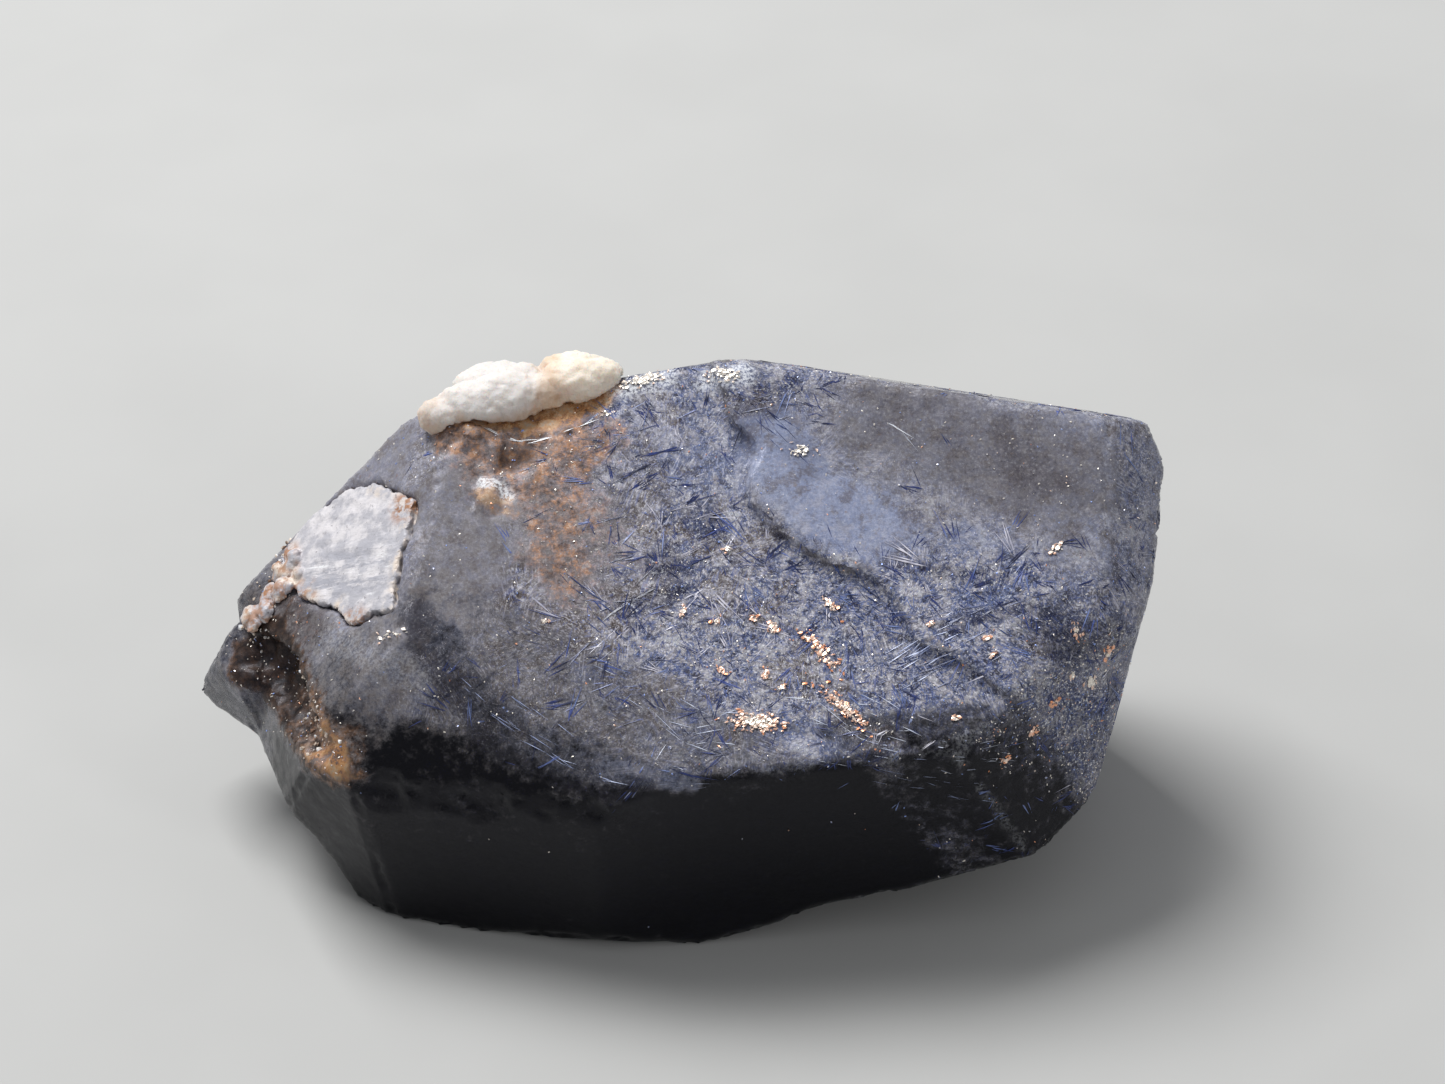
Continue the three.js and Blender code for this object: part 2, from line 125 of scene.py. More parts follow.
# What differs from that along lines on a face: the line's points as right and up the slope from the foot
# of the line out of the heart, how far it reaches to either side, and what it makes the quartz there.
MARKS = {
    "main": [
        # Clear grey quartz left of the fibres.
        ([(-8.0, -1.2), (-6.2, 0.6), (-5.4, 2.2)], 1.3, {"fibres": 0.04, "haze": 0.15, "clear": 0.55}),
        ([(-7.0, 3.0), (-6.0, 3.6)], 0.8, {"fibres": 0.02, "haze": 0.2, "clear": 0.55}),
        # The rust stain, its darker hollow, and the amber band under the knobs, whose bright orange is partly
        # a painted glow.
        ([(-3.6, 3.6), (-2.9, 2.6), (-2.9, 1.2)], 1.5, {"rust": 0.4, "fibres": 0.4}),
        (
            [(-5.9, 5.2), (-5.0, 4.6), (-3.9, 4.6), (-2.8, 5.2)], 1.05,
            {"rust": 0.95, "clear": 0.35, "fibres": 0.1},
        ),
        (
            [(-5.0, 3.9), (-3.7, 3.5), (-3.2, 2.2), (-3.3, 1.3)], 0.9,
            {"rust": 0.7, "clear": 0.35, "fibres": 0.3},
        ),
        ([(-4.7, 4.4), (-4.3, 4.5)], 0.3, {"rust": 1, "smoke": 0.8, "clear": 0.2}),
        ([(-5.6, 5.9), (-4.5, 5.8), (-3.4, 6.0), (-2.4, 6.3)], 0.6, {"amber": 1, "clear": 0.5, "fibres": 0}),
        ([(-5.3, 3.3), (-4.9, 3.05)], 0.5, {"amber": 0.5, "rust": 0.4, "clear": 0.3, "fibres": 0}),
        # A white streak at the bead's top: a painted highlight.
        ([(-5.45, 3.7), (-4.95, 3.6), (-4.75, 3.3)], 0.22, {"frost": 0.9}),
        # The crushed white places at the top ridge, painted whiter as highlights.
        ([(-1.7, 6.6), (-0.6, 6.9)], 0.42, {"frost": 0.8, "haze": 0.9, "fibres": 0.2}),
        ([(0.7, 6.7), (1.6, 6.8)], 0.36, {"frost": 0.8, "haze": 0.9, "fibres": 0.2}),
        # A paler haze over the fibres below the top ridge.
        ([(-1.8, 5.0), (0.6, 4.4)], 1.6, {"haze": 0.7, "fibres": 0.72}),
        # Dark blue patches among the fibres.
        ([(0.3, 2.8), (0.9, 2.3)], 0.5, {"navy": 0.8}),
        ([(-0.6, 1.5), (-0.2, 1.1)], 0.5, {"navy": 0.8}),
        ([(-1.6, -0.1), (0.0, 0.5)], 0.28, {"navy": 0.9}),
        ([(1.6, 6.0), (2.6, 6.4)], 0.8, {"navy": 0.65}),
        ([(3.0, 4.6), (3.5, 4.1)], 0.5, {"navy": 0.45, "haze": 0.6}),
        ([(7.0, -0.7), (9.4, -0.1)], 0.22, {"navy": 0.95}),
        ([(6.4, 1.0), (7.4, 0.8), (8.5, 0.8)], 0.22, {"navy": 0.7, "smoke": 0.6}),
        ([(9.6, -0.5), (10.6, -1.2)], 0.6, {"navy": 0.7, "clear": 0.6}),
        # The pale blue cloud and other milky places.
        (
            [(2.4, 4.7), (3.4, 3.2), (5.2, 2.0)], 1.15,
            {"haze": 1, "fibres": 0.3, "clear": 0.45, "warmth": -0.2},
        ),
        ([(6.2, 1.8), (9.0, 1.6)], 0.6, {"haze": 0.7}),
        ([(2.9, -3.8), (3.5, -3.7)], 0.6, {"haze": 0.8, "clear": 0.4}),
        ([(7.0, -0.1), (8.6, 0.2)], 0.3, {"haze": 0.85}),
        # Smooth smoky quartz at the upper right.
        (
            [(5.6, 5.6), (8.0, 4.6), (10.2, 3.6)], 1.7,
            {"smoke": 0.45, "fibres": 0.2, "haze": 0.3, "clear": 0.6},
        ),
        ([(9.1, 4.0), (10.5, 3.3)], 0.55, {"smoke": 0.7, "navy": 0.2, "clear": 0.6}),
        ([(8.6, 5.3), (9.2, 2.6)], 0.25, {"smoke": 0.7}),
    ],
    "front_left": [
        ([(-6.4, 0.1), (-5.2, -1.3), (-3.2, -2.9), (0.5, -3.6)], 0.55, {"navy": 0.8, "clear": 0.8}),
        # The pale veil and its end, with painted shade over them.
        (
            [(-5.6, -0.4), (-4.1, -1.8), (-2.6, -2.6), (-0.4, -3.0)], 0.5,
            {"haze": 0.5, "navy": 0.1, "deep": 0.5},
        ),
        ([(-0.4, -3.0), (0.8, -3.0), (1.8, -2.9)], 0.35, {"haze": 0.7, "deep": 0.4}),
        ([(-9.0, -4.4), (-6.5, -4.6), (-3.0, -4.6), (0.5, -4.2)], 0.3, {"rust": 0.35, "haze": 0.5}),
        ([(-3.0, 0.4), (2.0, -1.4), (6.0, -2.6)], 0.7, {"fibres": 0.6, "haze": 0.3}),
    ],
    "upper_left": [
        ([(-6.3, -4.9), (-6.0, -1.6)], 0.9, {"smoke": 0.3, "rust": 0.12}),
        ([(-2.6, -6.0), (0.6, -4.4)], 0.45, {"frost": 0.15, "haze": 0.3}),
        ([(-6.0, -7.6), (-3.4, -6.4)], 0.7, {"smoke": 0.6, "rust": 0.35}),
    ],
    "dark_right": [
        # Fibre wisps on the lower face, with painted shade over them.
        ([(2.5, 2.2), (6.0, 1.7), (8.4, 0.4)], 0.9, {"fibres": 0.6, "deep": 0.6, "navy": 0.5}),
    ],
    "right_front": [
        # The lower right front face, darkened by painted shade.
        ([(3.2, -1.6), (5.0, -3.2), (6.2, -5.4)], 1.3, {"deep": 0.85, "fibres": 0.3}),
        ([(6.5, 1.6), (8.4, 1.0)], 0.8, {"smoke": 0.8, "clear": 0.8}),
    ],
}


def direction(turn, tilt):
    """The unit vector at a compass angle from the front towards +X and an angle above the horizontal."""
    turn = math.radians(turn)
    tilt = math.radians(tilt)
    return np.array([math.sin(turn) * math.cos(tilt), -math.cos(turn) * math.cos(tilt), math.sin(tilt)])


class Face:
    """One of the crystal's flat faces: places on it are right, up its slope, and out of it."""

    def __init__(self, name):
        turn, tilt, reach = FACES[name]
        self.out = direction(turn, tilt)
        self.right = np.cross([0, 0, 1], self.out)
        self.right /= np.linalg.norm(self.right)
        self.up = np.cross(self.out, self.right)
        self.middle = HEART + self.out * reach

    def local(self, points):
        return (points - self.middle) @ np.stack([self.right, self.up, self.out]).T

    def place(self, right, up, out=0.0):
        return Vector(self.middle + self.right * right + self.up * up + self.out * out)


def eased(low, high, values):
    """0 where the values are at low and 1 where they are at high, with a soft step between."""
    share = np.clip((values - low) / (high - low), 0, 1)
    return share * share * (3 - 2 * share)


def uneven(points, size, seed, octaves=3):
    """Soft noise about 0, whose lumps are that many millimetres across."""
    shift = Vector((17.3, 5.9, 11.1)) * seed
    return np.array([noise.fractal(Vector(p) / size + shift, 1, 2, octaves) for p in points])


def distance_to_line(points, line):
    """How far each point is from a line of straight stretches, in two or three dimensions."""
    nearest = np.full(len(points), np.inf)
    corners = [np.array(corner, float) for corner in line]
    for start, end in zip(corners, corners[1:]):
        way = end - start
        share = np.clip((points - start) @ way / (way @ way), 0, 1)
        nearest = np.minimum(nearest, np.linalg.norm(points - start - share[:, None] * way, axis=1))
    return nearest


def mesh_of(name, bm):
    """The mesh that was being built, which frees what it was built in."""
    mesh = bpy.data.meshes.new(name)
    bm.to_mesh(mesh)
    bm.free()
    return mesh


def fine_mesh(node, voxel, sharp=20):
    """The node's solid in millimetres with even small faces, and each vertex's distance to a sharp ridge."""
    bm = bmesh.new()
    bm.from_mesh(frame["nodes"][node].data)
    bmesh.ops.scale(bm, vec=(1 / MM,) * 3, verts=bm.verts)
    bmesh.ops.remove_doubles(bm, verts=bm.verts, dist=WELD)
    ridge_places = []
    for edge in bm.edges:
        if edge.is_manifold and edge.calc_face_angle_signed() > math.radians(sharp):
            start, end = (vert.co.copy() for vert in edge.verts)
            count = max(1, round((end - start).length / (voxel / 2)))
            ridge_places += [start.lerp(end, i / count) for i in range(count + 1)]
    holder = bpy.data.objects.new(node, mesh_of(node, bm))
    bpy.context.scene.collection.objects.link(holder)
    remesh = holder.modifiers.new("Even faces", "REMESH")
    remesh.mode = "VOXEL"
    remesh.voxel_size = voxel
    mesh = bpy.data.meshes.new_from_object(holder.evaluated_get(bpy.context.evaluated_depsgraph_get()))
    bpy.data.objects.remove(holder)
    tree = KDTree(len(ridge_places))
    for i, place in enumerate(ridge_places):
        tree.insert(place, i)
    tree.balance()
    away = np.array([tree.find(vert.co)[2] for vert in mesh.vertices])
    return mesh, away


def mesh_places(mesh):
    """A mesh's places and normals as arrays."""
    points = np.empty(len(mesh.vertices) * 3)
    mesh.vertices.foreach_get("co", points)
    normals = np.empty(len(mesh.vertices) * 3)
    mesh.vertex_normals.foreach_get("vector", normals)
    return points.reshape(-1, 3), normals.reshape(-1, 3)


def store(mesh, name, values):
    """Keeps one number for each vertex, for materials and node trees to read."""
    made = mesh.attributes.get(name) or mesh.attributes.new(name, "FLOAT", "POINT")
    made.data.foreach_set("value", values.astype(np.float32))


def add_piece(name, mesh):
    """Makes a mesh in metres a piece that rides on the crystal."""
    mesh.name = name
    piece = bpy.data.objects.new(name, mesh)
    bpy.context.scene.collection.objects.link(piece)
    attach(piece, "root")
    return piece


def finish_piece(name, mesh, material, replaced=None, sharp=38):
    """Scales a mesh in millimetres to metres, gives it its material and makes it a piece."""
    mesh.transform(Matrix.Scale(MM, 4))
    mesh.materials.clear()
    mesh.materials.append(material)
    mesh.shade_smooth()
    mesh.set_sharp_from_angle(angle=math.radians(sharp))
    piece = add_piece(name, mesh)
    if replaced:
        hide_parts(replaced)


def on_surface(body, face, right, up, height=0.03):
    """The place on the quartz's finished surface under a place on a face, in millimetres."""
    start = face.place(right, up, 1.5)
    inwards = Vector(-face.out)
    hit, place, normal, _ = body.ray_cast(start * MM, inwards)
    return place / MM + normal * height if hit else face.place(right, up)


class Tree:
    """A node tree filled by short calls, each of which adds a node, sets it and feeds its inputs."""

    def __init__(self, tree):
        self.tree = tree

    def add(self, kind, inputs=None, **settings):
        made = self.tree.nodes.new(kind)
        for name, value in settings.items():
            setattr(made, name, value)
        for name, value in (inputs or {}).items():
            self.feed(self.pick(made.inputs, name), value)
        return made

    @staticmethod
    def pick(sockets, name):
        if isinstance(name, int):
            return sockets[name]
        return next(socket for socket in sockets if socket.name == name and socket.enabled)

    def feed(self, socket, value):
        if isinstance(value, bpy.types.NodeSocket):
            self.tree.links.new(value, socket)
        else:
            socket.default_value = value

    def maths(self, operation, first, second, clamp=False):
        node = self.add("ShaderNodeMath", {0: first, 1: second}, operation=operation, use_clamp=clamp)
        return node.outputs[0]

    def vector_maths(self, operation, first, second):
        node = self.add("ShaderNodeVectorMath", {0: first, 1: second}, operation=operation)
        return node.outputs["Value" if operation == "DOT_PRODUCT" else "Vector"]


def rgba(colour):
    return (*colour, 1)


class Finish(Tree):
    """A material and the patterns that it is mixed from, all in millimetres on the piece."""

    def __init__(self, name):
        self.material = bpy.data.materials.new(name)
        self.material.use_nodes = True
        super().__init__(self.material.node_tree)
        self.tree.nodes.clear()
        self.output = self.add("ShaderNodeOutputMaterial")
        coordinates = self.add("ShaderNodeTexCoord").outputs["Object"]
        self.place = self.scaled(coordinates, (1 / MM,) * 3)

    def scaled(self, vector, factors):
        return self.vector_maths("MULTIPLY", vector, factors)

    def attribute(self, name):
        return self.add("ShaderNodeAttribute", attribute_name=name).outputs["Fac"]

    def measured(self, *axes):
        """The place as measured along three directions."""
        parts = [self.vector_maths("DOT_PRODUCT", self.place, tuple(axis)) for axis in axes]
        return self.add("ShaderNodeCombineXYZ", dict(enumerate(parts))).outputs[0]

    def noise(self, size, detail=2, roughness=0.5, place=None):
        inputs = {
            "Vector": place or self.place,
            "Scale": 1 / size,
            "Detail": detail,
            "Roughness": roughness,
        }
        return self.add("ShaderNodeTexNoise", inputs).outputs["Fac"]

    def span(self, value, low, high, first=0.0, last=1.0):
        inputs = {"Value": value, "From Min": low, "From Max": high, "To Min": first, "To Max": last}
        return self.add("ShaderNodeMapRange", inputs, interpolation_type="SMOOTHSTEP").outputs[0]

    def patchy(self, size, least, most):
        """A value that differs from place to place, in patches of that size."""
        return self.span(self.noise(size), 0.3, 0.7, least, most)

    def times(self, first, second):
        return self.maths("MULTIPLY", first, second)

    def plus(self, first, second):
        return self.maths("ADD", first, second)

    def minus(self, first, second):
        return self.maths("SUBTRACT", first, second)

    def mix(self, share, first, second):
        node = self.add("ShaderNodeMix", data_type="RGBA")
        self.feed(node.inputs[0], share)
        for socket, colour in ((node.inputs[6], first), (node.inputs[7], second)):
            self.feed(socket, colour if isinstance(colour, bpy.types.NodeSocket) else rgba(colour))
        return node.outputs[2]

    def ramp(self, value, *stops):
        """Colours along a value: each stop is a place from 0 to 1 and a colour."""
        node = self.add("ShaderNodeValToRGB", {0: value})
        band = node.color_ramp
        while len(band.elements) < len(stops):
            band.elements.new(0.5)
        for element, (place, colour) in zip(band.elements, stops):
            element.position = place
            element.color = rgba(colour)
        return node.outputs[0]

    def needles(self, cell, length, width, low, high):
        """Straight streaks in all directions: each cell of a random pattern is streaked its own way."""
        wander = self.add("ShaderNodeTexNoise", {"Vector": self.place, "Scale": 2 / cell}).outputs["Color"]
        wander = self.scaled(wander, (cell * 0.6,) * 3)
        moved = self.vector_maths("ADD", self.place, wander)
        cells = self.add("ShaderNodeTexVoronoi", {"Vector": moved, "Scale": 1 / cell}).outputs["Color"]
        turn = self.scaled(cells, (2 * math.pi,) * 3)
        inputs = {"Vector": self.place, "Rotation": turn}
        turned = self.add("ShaderNodeVectorRotate", inputs, rotation_type="EULER_XYZ").outputs[0]
        streaked = self.scaled(turned, (1 / length, 1 / width, 1 / width))
        return self.span(self.noise(1, 1, 0.4, streaked), low, high)

    def bump(self, height, depth):
        inputs = {"Height": height, "Distance": depth * MM, "Strength": 1}
        return self.add("ShaderNodeBump", inputs).outputs[0]

    def surface(self, **inputs):
        """The shader itself. An input's name has its spaces as underscores."""
        shader = self.add("ShaderNodeBsdfPrincipled")
        for name, value in inputs.items():
            self.feed(self.pick(shader.inputs, name.replace("_", " ")), value)
        self.tree.links.new(shader.outputs[0], self.output.inputs["Surface"])
        return self.material


def colour_property(name, description, default):
    return FloatVectorProperty(
        name=name, description=description, default=default, subtype="COLOR", min=0, max=1, size=3
    )


def length_property(name, description, default):
    return FloatProperty(
        name=name, description=description, default=default, unit="LENGTH", min=0, precision=5
    )


def power_property(name, description, default):
    return FloatProperty(name=name, description=description, default=default, unit="POWER")


def density_property(name, what, default):
    return FloatProperty(name=name, description=what + " on a square millimetre", default=default, min=0)


class StageSettings(bpy.types.PropertyGroup):
    """Floor and lights."""

    floor_colour: colour_property("Floor colour", "Colour of the pale floor", (0.5, 0.5, 0.49))
    floor_width: length_property("Floor width", "Side of the square floor", 3)
    key_power: power_property("Key light", "Power of the soft light", 1.05)
    key_width: length_property("Key light width", "Side of the square soft light", 0.16)
    sparkle_power: power_property("Sparkle light", "Power of the small light", 0.07)
    sparkle_width: length_property("Sparkle light width", "Side of the square small light", 0.04)
    sky_colour: colour_property("Sky colour", "Colour of the even light all round", (0.95, 0.97, 1.0))
    sky_strength: FloatProperty(
        name="Sky strength", description="Strength of the even light", default=0.32, min=0
    )


class QuartzSettings(bpy.types.PropertyGroup):
    """The quartz body."""

    grain: length_property("Grain", "Side of the quartz mesh's faces", 0.000125)
    relief: length_property("Relief", "Height of the roughness on a fibrous face", 0.000018)
    wear: length_property("Wear", "How far the ridges are worn back", 0.00007)
    body_colour: colour_property("Body", "Grey-violet of the quartz", (0.40, 0.375, 0.385))
    haze_colour: colour_property("Haze", "Pale blue of the milky clouds", (0.46, 0.53, 0.78))
    smoke_colour: colour_property("Smoke", "Brown-grey of the smoky parts", (0.17, 0.15, 0.16))
    # Painted shade: the near black laid on faces that face down or away from the light.
    painted_shade_colour: colour_property("Deep", "Nearly black of the clear depth", (0.006, 0.006, 0.008))
    steel_colour: colour_property("Steel", "Grey-blue of the thin fibres", (0.17, 0.23, 0.46))
    brown_colour: colour_property("Brown", "Brown-grey between the fibres", (0.22, 0.18, 0.165))
    pale_colour: colour_property("Pale", "Grey-white of the crossing fibres", (0.70, 0.68, 0.77))
    blue_colour: colour_property("Blue", "Strong blue of the thick fibres", (0.045, 0.08, 0.25))
    navy_colour: colour_property("Navy", "Blackish blue of the dense fibres", (0.02, 0.025, 0.07))
    # This white is also painted along the ridges and at the bead as highlights.
    white_and_highlight_colour: colour_property("Frost", "White of the crushed and frosted places", (0.85, 0.87, 0.9))
    dark_rust_colour: colour_property("Dark rust", "Darkest brown of the stain", (0.06, 0.038, 0.028))
    rust_colour: colour_property("Rust", "Brown of the iron stain", (0.22, 0.12, 0.075))
    tan_colour: colour_property("Tan", "Grey-brown of the thin stain", (0.38, 0.205, 0.11))
    amber_colour: colour_property("Amber", "Orange of the thin iron stain", (0.68, 0.31, 0.12))
    # Painted glow: the bright orange of light shining through the thin stain.
    painted_glow_colour: colour_property("Gold", "Bright orange where light comes through", (0.90, 0.55, 0.28))
    cream_colour: colour_property("Cream", "Cream specks in the stain", (0.86, 0.74, 0.62))
    absorbed_colour: colour_property("Depth colour", "Colour that deep quartz leaves", (0.38, 0.40, 0.62))
    absorption: FloatProperty(
        name="Depth", description="How fast quartz darkens, per metre", default=420, min=0
    )
    tint_colour: colour_property("Reflection", "Colour of the quartz's reflections", (0.5, 0.5, 0.56))


class FibreSettings(bpy.types.PropertyGroup):
    """Blue fibres in and on the quartz."""

    longest: length_property("Longest", "Length of a spray's longest fibre", 0.0012)
    thickness: length_property("Thickness", "Thickness of a fibre", 0.00004)
    shapes: IntProperty(name="Spray shapes", description="Different sprays of each colour", default=7, min=1)
    per_spray: IntProperty(
        name="Fibres in a spray", description="Fibres that fan out together", default=7, min=1
    )
    navy_sprays: density_property("Dark sprays", "Sprays", 8)
    steel_sprays: density_property("Blue sprays", "Sprays", 6)
    pale_sprays: density_property("Pale sprays", "Sprays", 6)
    ink_colour: colour_property("Ink", "Blue that the dark sprays turn to in places", (0.03, 0.05, 0.20))
    indigo_colour: colour_property("Indigo", "Darker blue in places in the blue sprays", (0.07, 0.10, 0.32))
    lilac_colour: colour_property("Lilac", "Grey that the pale sprays turn to in places", (0.36, 0.36, 0.46))
    seed: IntProperty(name="Seed", description="Chooses where the sprays lie", default=4)


class GlintSettings(bpy.types.PropertyGroup):
    """Copper-coloured and white glints."""

    smallest: length_property("Smallest", "Length of the smallest scale", 0.00005)
    largest: length_property("Largest", "Length of the largest scale", 0.0002)
    copper_colour: colour_property("Copper", "Colour of the warm scales", (0.95, 0.40, 0.20))
    white_colour: colour_property("White", "Colour of the white scales", (1.0, 0.93, 0.84))
    blue_colour: colour_property("Blue", "Colour of the blue flakes", (0.30, 0.42, 0.85))
    sparkles: density_property("Sparkles", "Flakes", 40)
    seed: IntProperty(name="Seed", description="Chooses the scales' shapes", default=8)


class PlateSettings(bpy.types.PropertyGroup):
    """The white plate and its crumbs."""

    grain: length_property("Grain", "Side of the plate mesh's faces", 0.00005)
    relief: length_property("Relief", "Height of the plate's streaks", 0.00005)
    white_colour: colour_property("White", "Pearly white of the plate", (0.76, 0.73, 0.75))
    grey_colour: colour_property("Grey", "Grey between its streaks", (0.40, 0.40, 0.45))
    cream_colour: colour_property("Cream", "Cream of its edges", (0.74, 0.60, 0.46))
    rust_colour: colour_property("Rust", "Rust of its corners", (0.42, 0.20, 0.10))
    shine_colour: colour_property("Shine", "White of its silvery streaks", (0.95, 0.95, 0.97))
    speck_colour: colour_property("Specks", "Dark grey of its specks", (0.2, 0.18, 0.2))
    crumbs: density_property("Crumbs", "Crumbs", 22)
    seed: IntProperty(name="Seed", description="Chooses the crumbs' shapes", default=5)


class CrustSettings(bpy.types.PropertyGroup):
    """The knobs of white crust."""

    grain: length_property("Grain", "Side of the knob mesh's faces", 0.00007)
    relief: length_property("Relief", "Height of the knobs' roughness", 0.00006)
    white_colour: colour_property("White", "Grey-white of the left knobs", (0.78, 0.74, 0.71))
    cream_colour: colour_property("Cream", "Cream of the right knobs", (0.93, 0.82, 0.70))
    tan_colour: colour_property("Tan", "Tan of the hollows", (0.58, 0.36, 0.20))
    fleck_colour: colour_property("Flecks", "Grey-brown of the flecks", (0.45, 0.4, 0.38))


SETTINGS = {
    "crystal_stage": StageSettings,
    "crystal_quartz": QuartzSettings,
    "crystal_fibres": FibreSettings,
    "crystal_glints": GlintSettings,
    "crystal_plate": PlateSettings,
    "crystal_crust": CrustSettings,
}


# The quartz.


def turn_to(zones, share, gives):
    """Brings zones nearer to the given values, by each vertex's own share of the way."""
    for name, value in gives.items():
        zones[name] = zones[name] + share * (value - zones[name])


def paint_zones(mesh, ridge):
    """What the quartz is like at each vertex, from the faces' own values and the marks on them."""
    points, normals = mesh_places(mesh)
    wobble = uneven(points, 0.9, 1) + 0.5 * uneven(points, 0.25, 2, 2)
    broad = uneven(points, 2.6, 3)
    total = np.full(len(points), 0.02)
    sums = {name: total * value for name, value in zip(ZONES, HIDDEN_SIDES)}
    for face_name, values in FACE_ZONES.items():
        face = Face(face_name)
        out = face.local(points)[:, 2]
        share = eased(-1.3, -0.9, out) * eased(0.6, 0.3, out) * eased(0.35, 0.8, normals @ face.out)
        total = total + share
        for name, value in zip(ZONES, values):
            sums[name] = sums[name] + share * value
    zones = {name: sums[name] / total for name in ZONES}
    shown = eased(0.1, 0.6, total)
    for name, amount in (("fibres", 0.9), ("haze", 0.6), ("navy", 0.6), ("smoke", 0.5)):
        zones[name] = np.clip(zones[name] + (1 - shown) * amount * broad, 0, 1)
    for name in ("rust", "amber", "frost"):
        zones[name] = np.zeros(len(points))
    zones["warmth"] = 0.12 * eased(2.5, -3.5, points[:, 0]) - 0.08 * eased(2.5, 7, points[:, 0])
    for face_name, marks in MARKS.items():
        face = Face(face_name)
        local = face.local(points)
        on_face = eased(-1.4, -1.0, local[:, 2]) * eased(0.8, 0.5, local[:, 2])
        on_face = on_face * eased(0.1, 0.5, normals @ face.out)
        for line, reach, gives in marks:
            away = distance_to_line(local[:, :2], line) / reach + 0.45 * wobble
            turn_to(zones, on_face * eased(1.4, 0.45, away), gives)
    paint_layer(zones, points, wobble)
    paint_cleft(zones, points, wobble)
    paint_point(zones, points)
    # Pale along the ridges: partly chipped wear, partly a painted highlight.
    worn = ridge * eased(0.0, 0.6, wobble + 0.1) * eased(-2, 4, points[:, 0])
    zones["frost"] = np.maximum(zones["frost"], 0.2 * worn)
    return zones


def paint_layer(zones, points, wobble):
    """Right of the ledge the last growth layer is smoother and covers the fibres, except low down; its shadow
    along the ledge is painted dark blue.
    """
    local = Face("main").local(points)
    raised = eased(-0.24, -0.12, local[:, 2]) * eased(0.3, 0.1, local[:, 2]) * eased(-1, 0.5, local[:, 0])
    covered = raised * eased(1.2, 2.6, local[:, 1] + 0.15 * (local[:, 0] - 5) + 0.4 * wobble)
    covered = covered * (1 - eased(5.4, 6.0, local[:, 1] + 0.3 * wobble) * eased(5, 3, local[:, 0]))
    zones["fibres"] = zones["fibres"] * (1 - 0.55 * covered)
    under = eased(-0.5, -0.3, local[:, 2]) * eased(-0.1, -0.2, local[:, 2])
    # The ledge's shadow, painted in dark blue along its foot.
    shade = under * eased(0.55, 0.15, distance_to_line(local[:, :2], LEDGE))
    shade = shade * eased(-0.5, 0.4, uneven(points, 0.8, 9))
    zones["navy"] = np.maximum(zones["navy"], 0.6 * shade)


def paint_cleft(zones, points, wobble):
    """The rusty cleft: painted shadow at its top end and painted shade over it, amber with a painted glow
    along its right side, with pale crumbs.
    """
    start, end = CLEFT
    way = (end - start) / np.linalg.norm(end - start)
    along = (points - start) @ way / np.linalg.norm(end - start)
    away = distance_to_line(points, CLEFT)
    inside = eased(1.35, 0.85, away + 0.35 * wobble)
    zones["rust"] = np.maximum(zones["rust"], inside)
    # A painted glow of light coming through the cleft's amber part.
    glow = inside * eased(0.4, 0.75, along + 0.3 * wobble) * eased(1.1, 0.5, away + 0.3 * wobble)
    zones["amber"] = np.maximum(zones["amber"], 0.85 * glow)
    # Painted shadow: dark smoke at the cleft's top end, and painted shade over the cleft except where it
    # glows.
    zones["smoke"] = np.maximum(zones["smoke"], inside * eased(0.5, 0.2, along + 0.2 * wobble))
    turn_to(zones, inside, {"clear": 0.35, "fibres": 0, "haze": 0, "deep": 0.55})
    zones["deep"] = zones["deep"] * (1 - 0.7 * glow)
    in_cleft = 0.6 * eased(0.95, 0.6, away) * eased(0.15, 0.3, along) * eased(0.85, 0.6, along)
    local = Face("upper_left").local(points)
    at_plate = eased(0.9, 0.3, distance_to_line(local[:, :2], PLATE_CRUMBS)) * eased(-0.7, -0.3, local[:, 2])
    zones["crumbs"] = np.maximum(in_cleft, at_plate)


def paint_point(zones, points):
    """The side point is smooth, clear and bluish grey, half darkened by painted shade."""
    share = eased(4.6, 3.2, np.linalg.norm(points - POINT_TIP, axis=1)) * (1 - zones["rust"])
    turn_to(zones, share, {"clear": 0.6, "fibres": 0.03, "haze": 0.35, "navy": 0.1, "deep": 0.5})


def sparkling(mesh, zones):
    """Tiny bright flakes are thickest on the right front face, and fewer among the other fibres."""
    points, normals = mesh_places(mesh)
    facing = eased(0.85, 0.95, normals @ Face("right_front").out)
    main = Face("main").local(points)
    around = eased(2.2, 0.6, distance_to_line(main[:, :2], SPARKLE_BAND)) * eased(-0.8, -0.4, main[:, 2])
    amount = 0.15 * zones["fibres"] + 0.2 * zones["rust"] + 0.1 * zones["smoke"] + 0.25 * around
    amount = (amount + 0.9 * facing + 0.03) * (1 - 0.97 * eased(0.4, 0.9, zones["deep"]))
    return np.clip(amount, 0, 1) * eased(0.3, 1.0, points[:, 2])


def roughen(mesh, zones, ridge, settings):
    """Moves the vertices out and in: rough where fibres come out, worn along the ridges."""
    points, normals = mesh_places(mesh)
    relief = settings.relief / MM
    height = uneven(points, 0.5, 5, 2) * 0.5 * relief
    height += uneven(points, 0.16, 6, 2) * relief * (0.25 + zones["fibres"] + zones["rust"])
    height -= ridge * (settings.wear / MM) * (0.5 + eased(-0.3, 0.5, uneven(points, 0.5, 7)))
    points = points + normals * height[:, None]
    points[:, 2] = np.maximum(points[:, 2], 0)
    mesh.vertices.foreach_set("co", points.ravel())
    mesh.update()


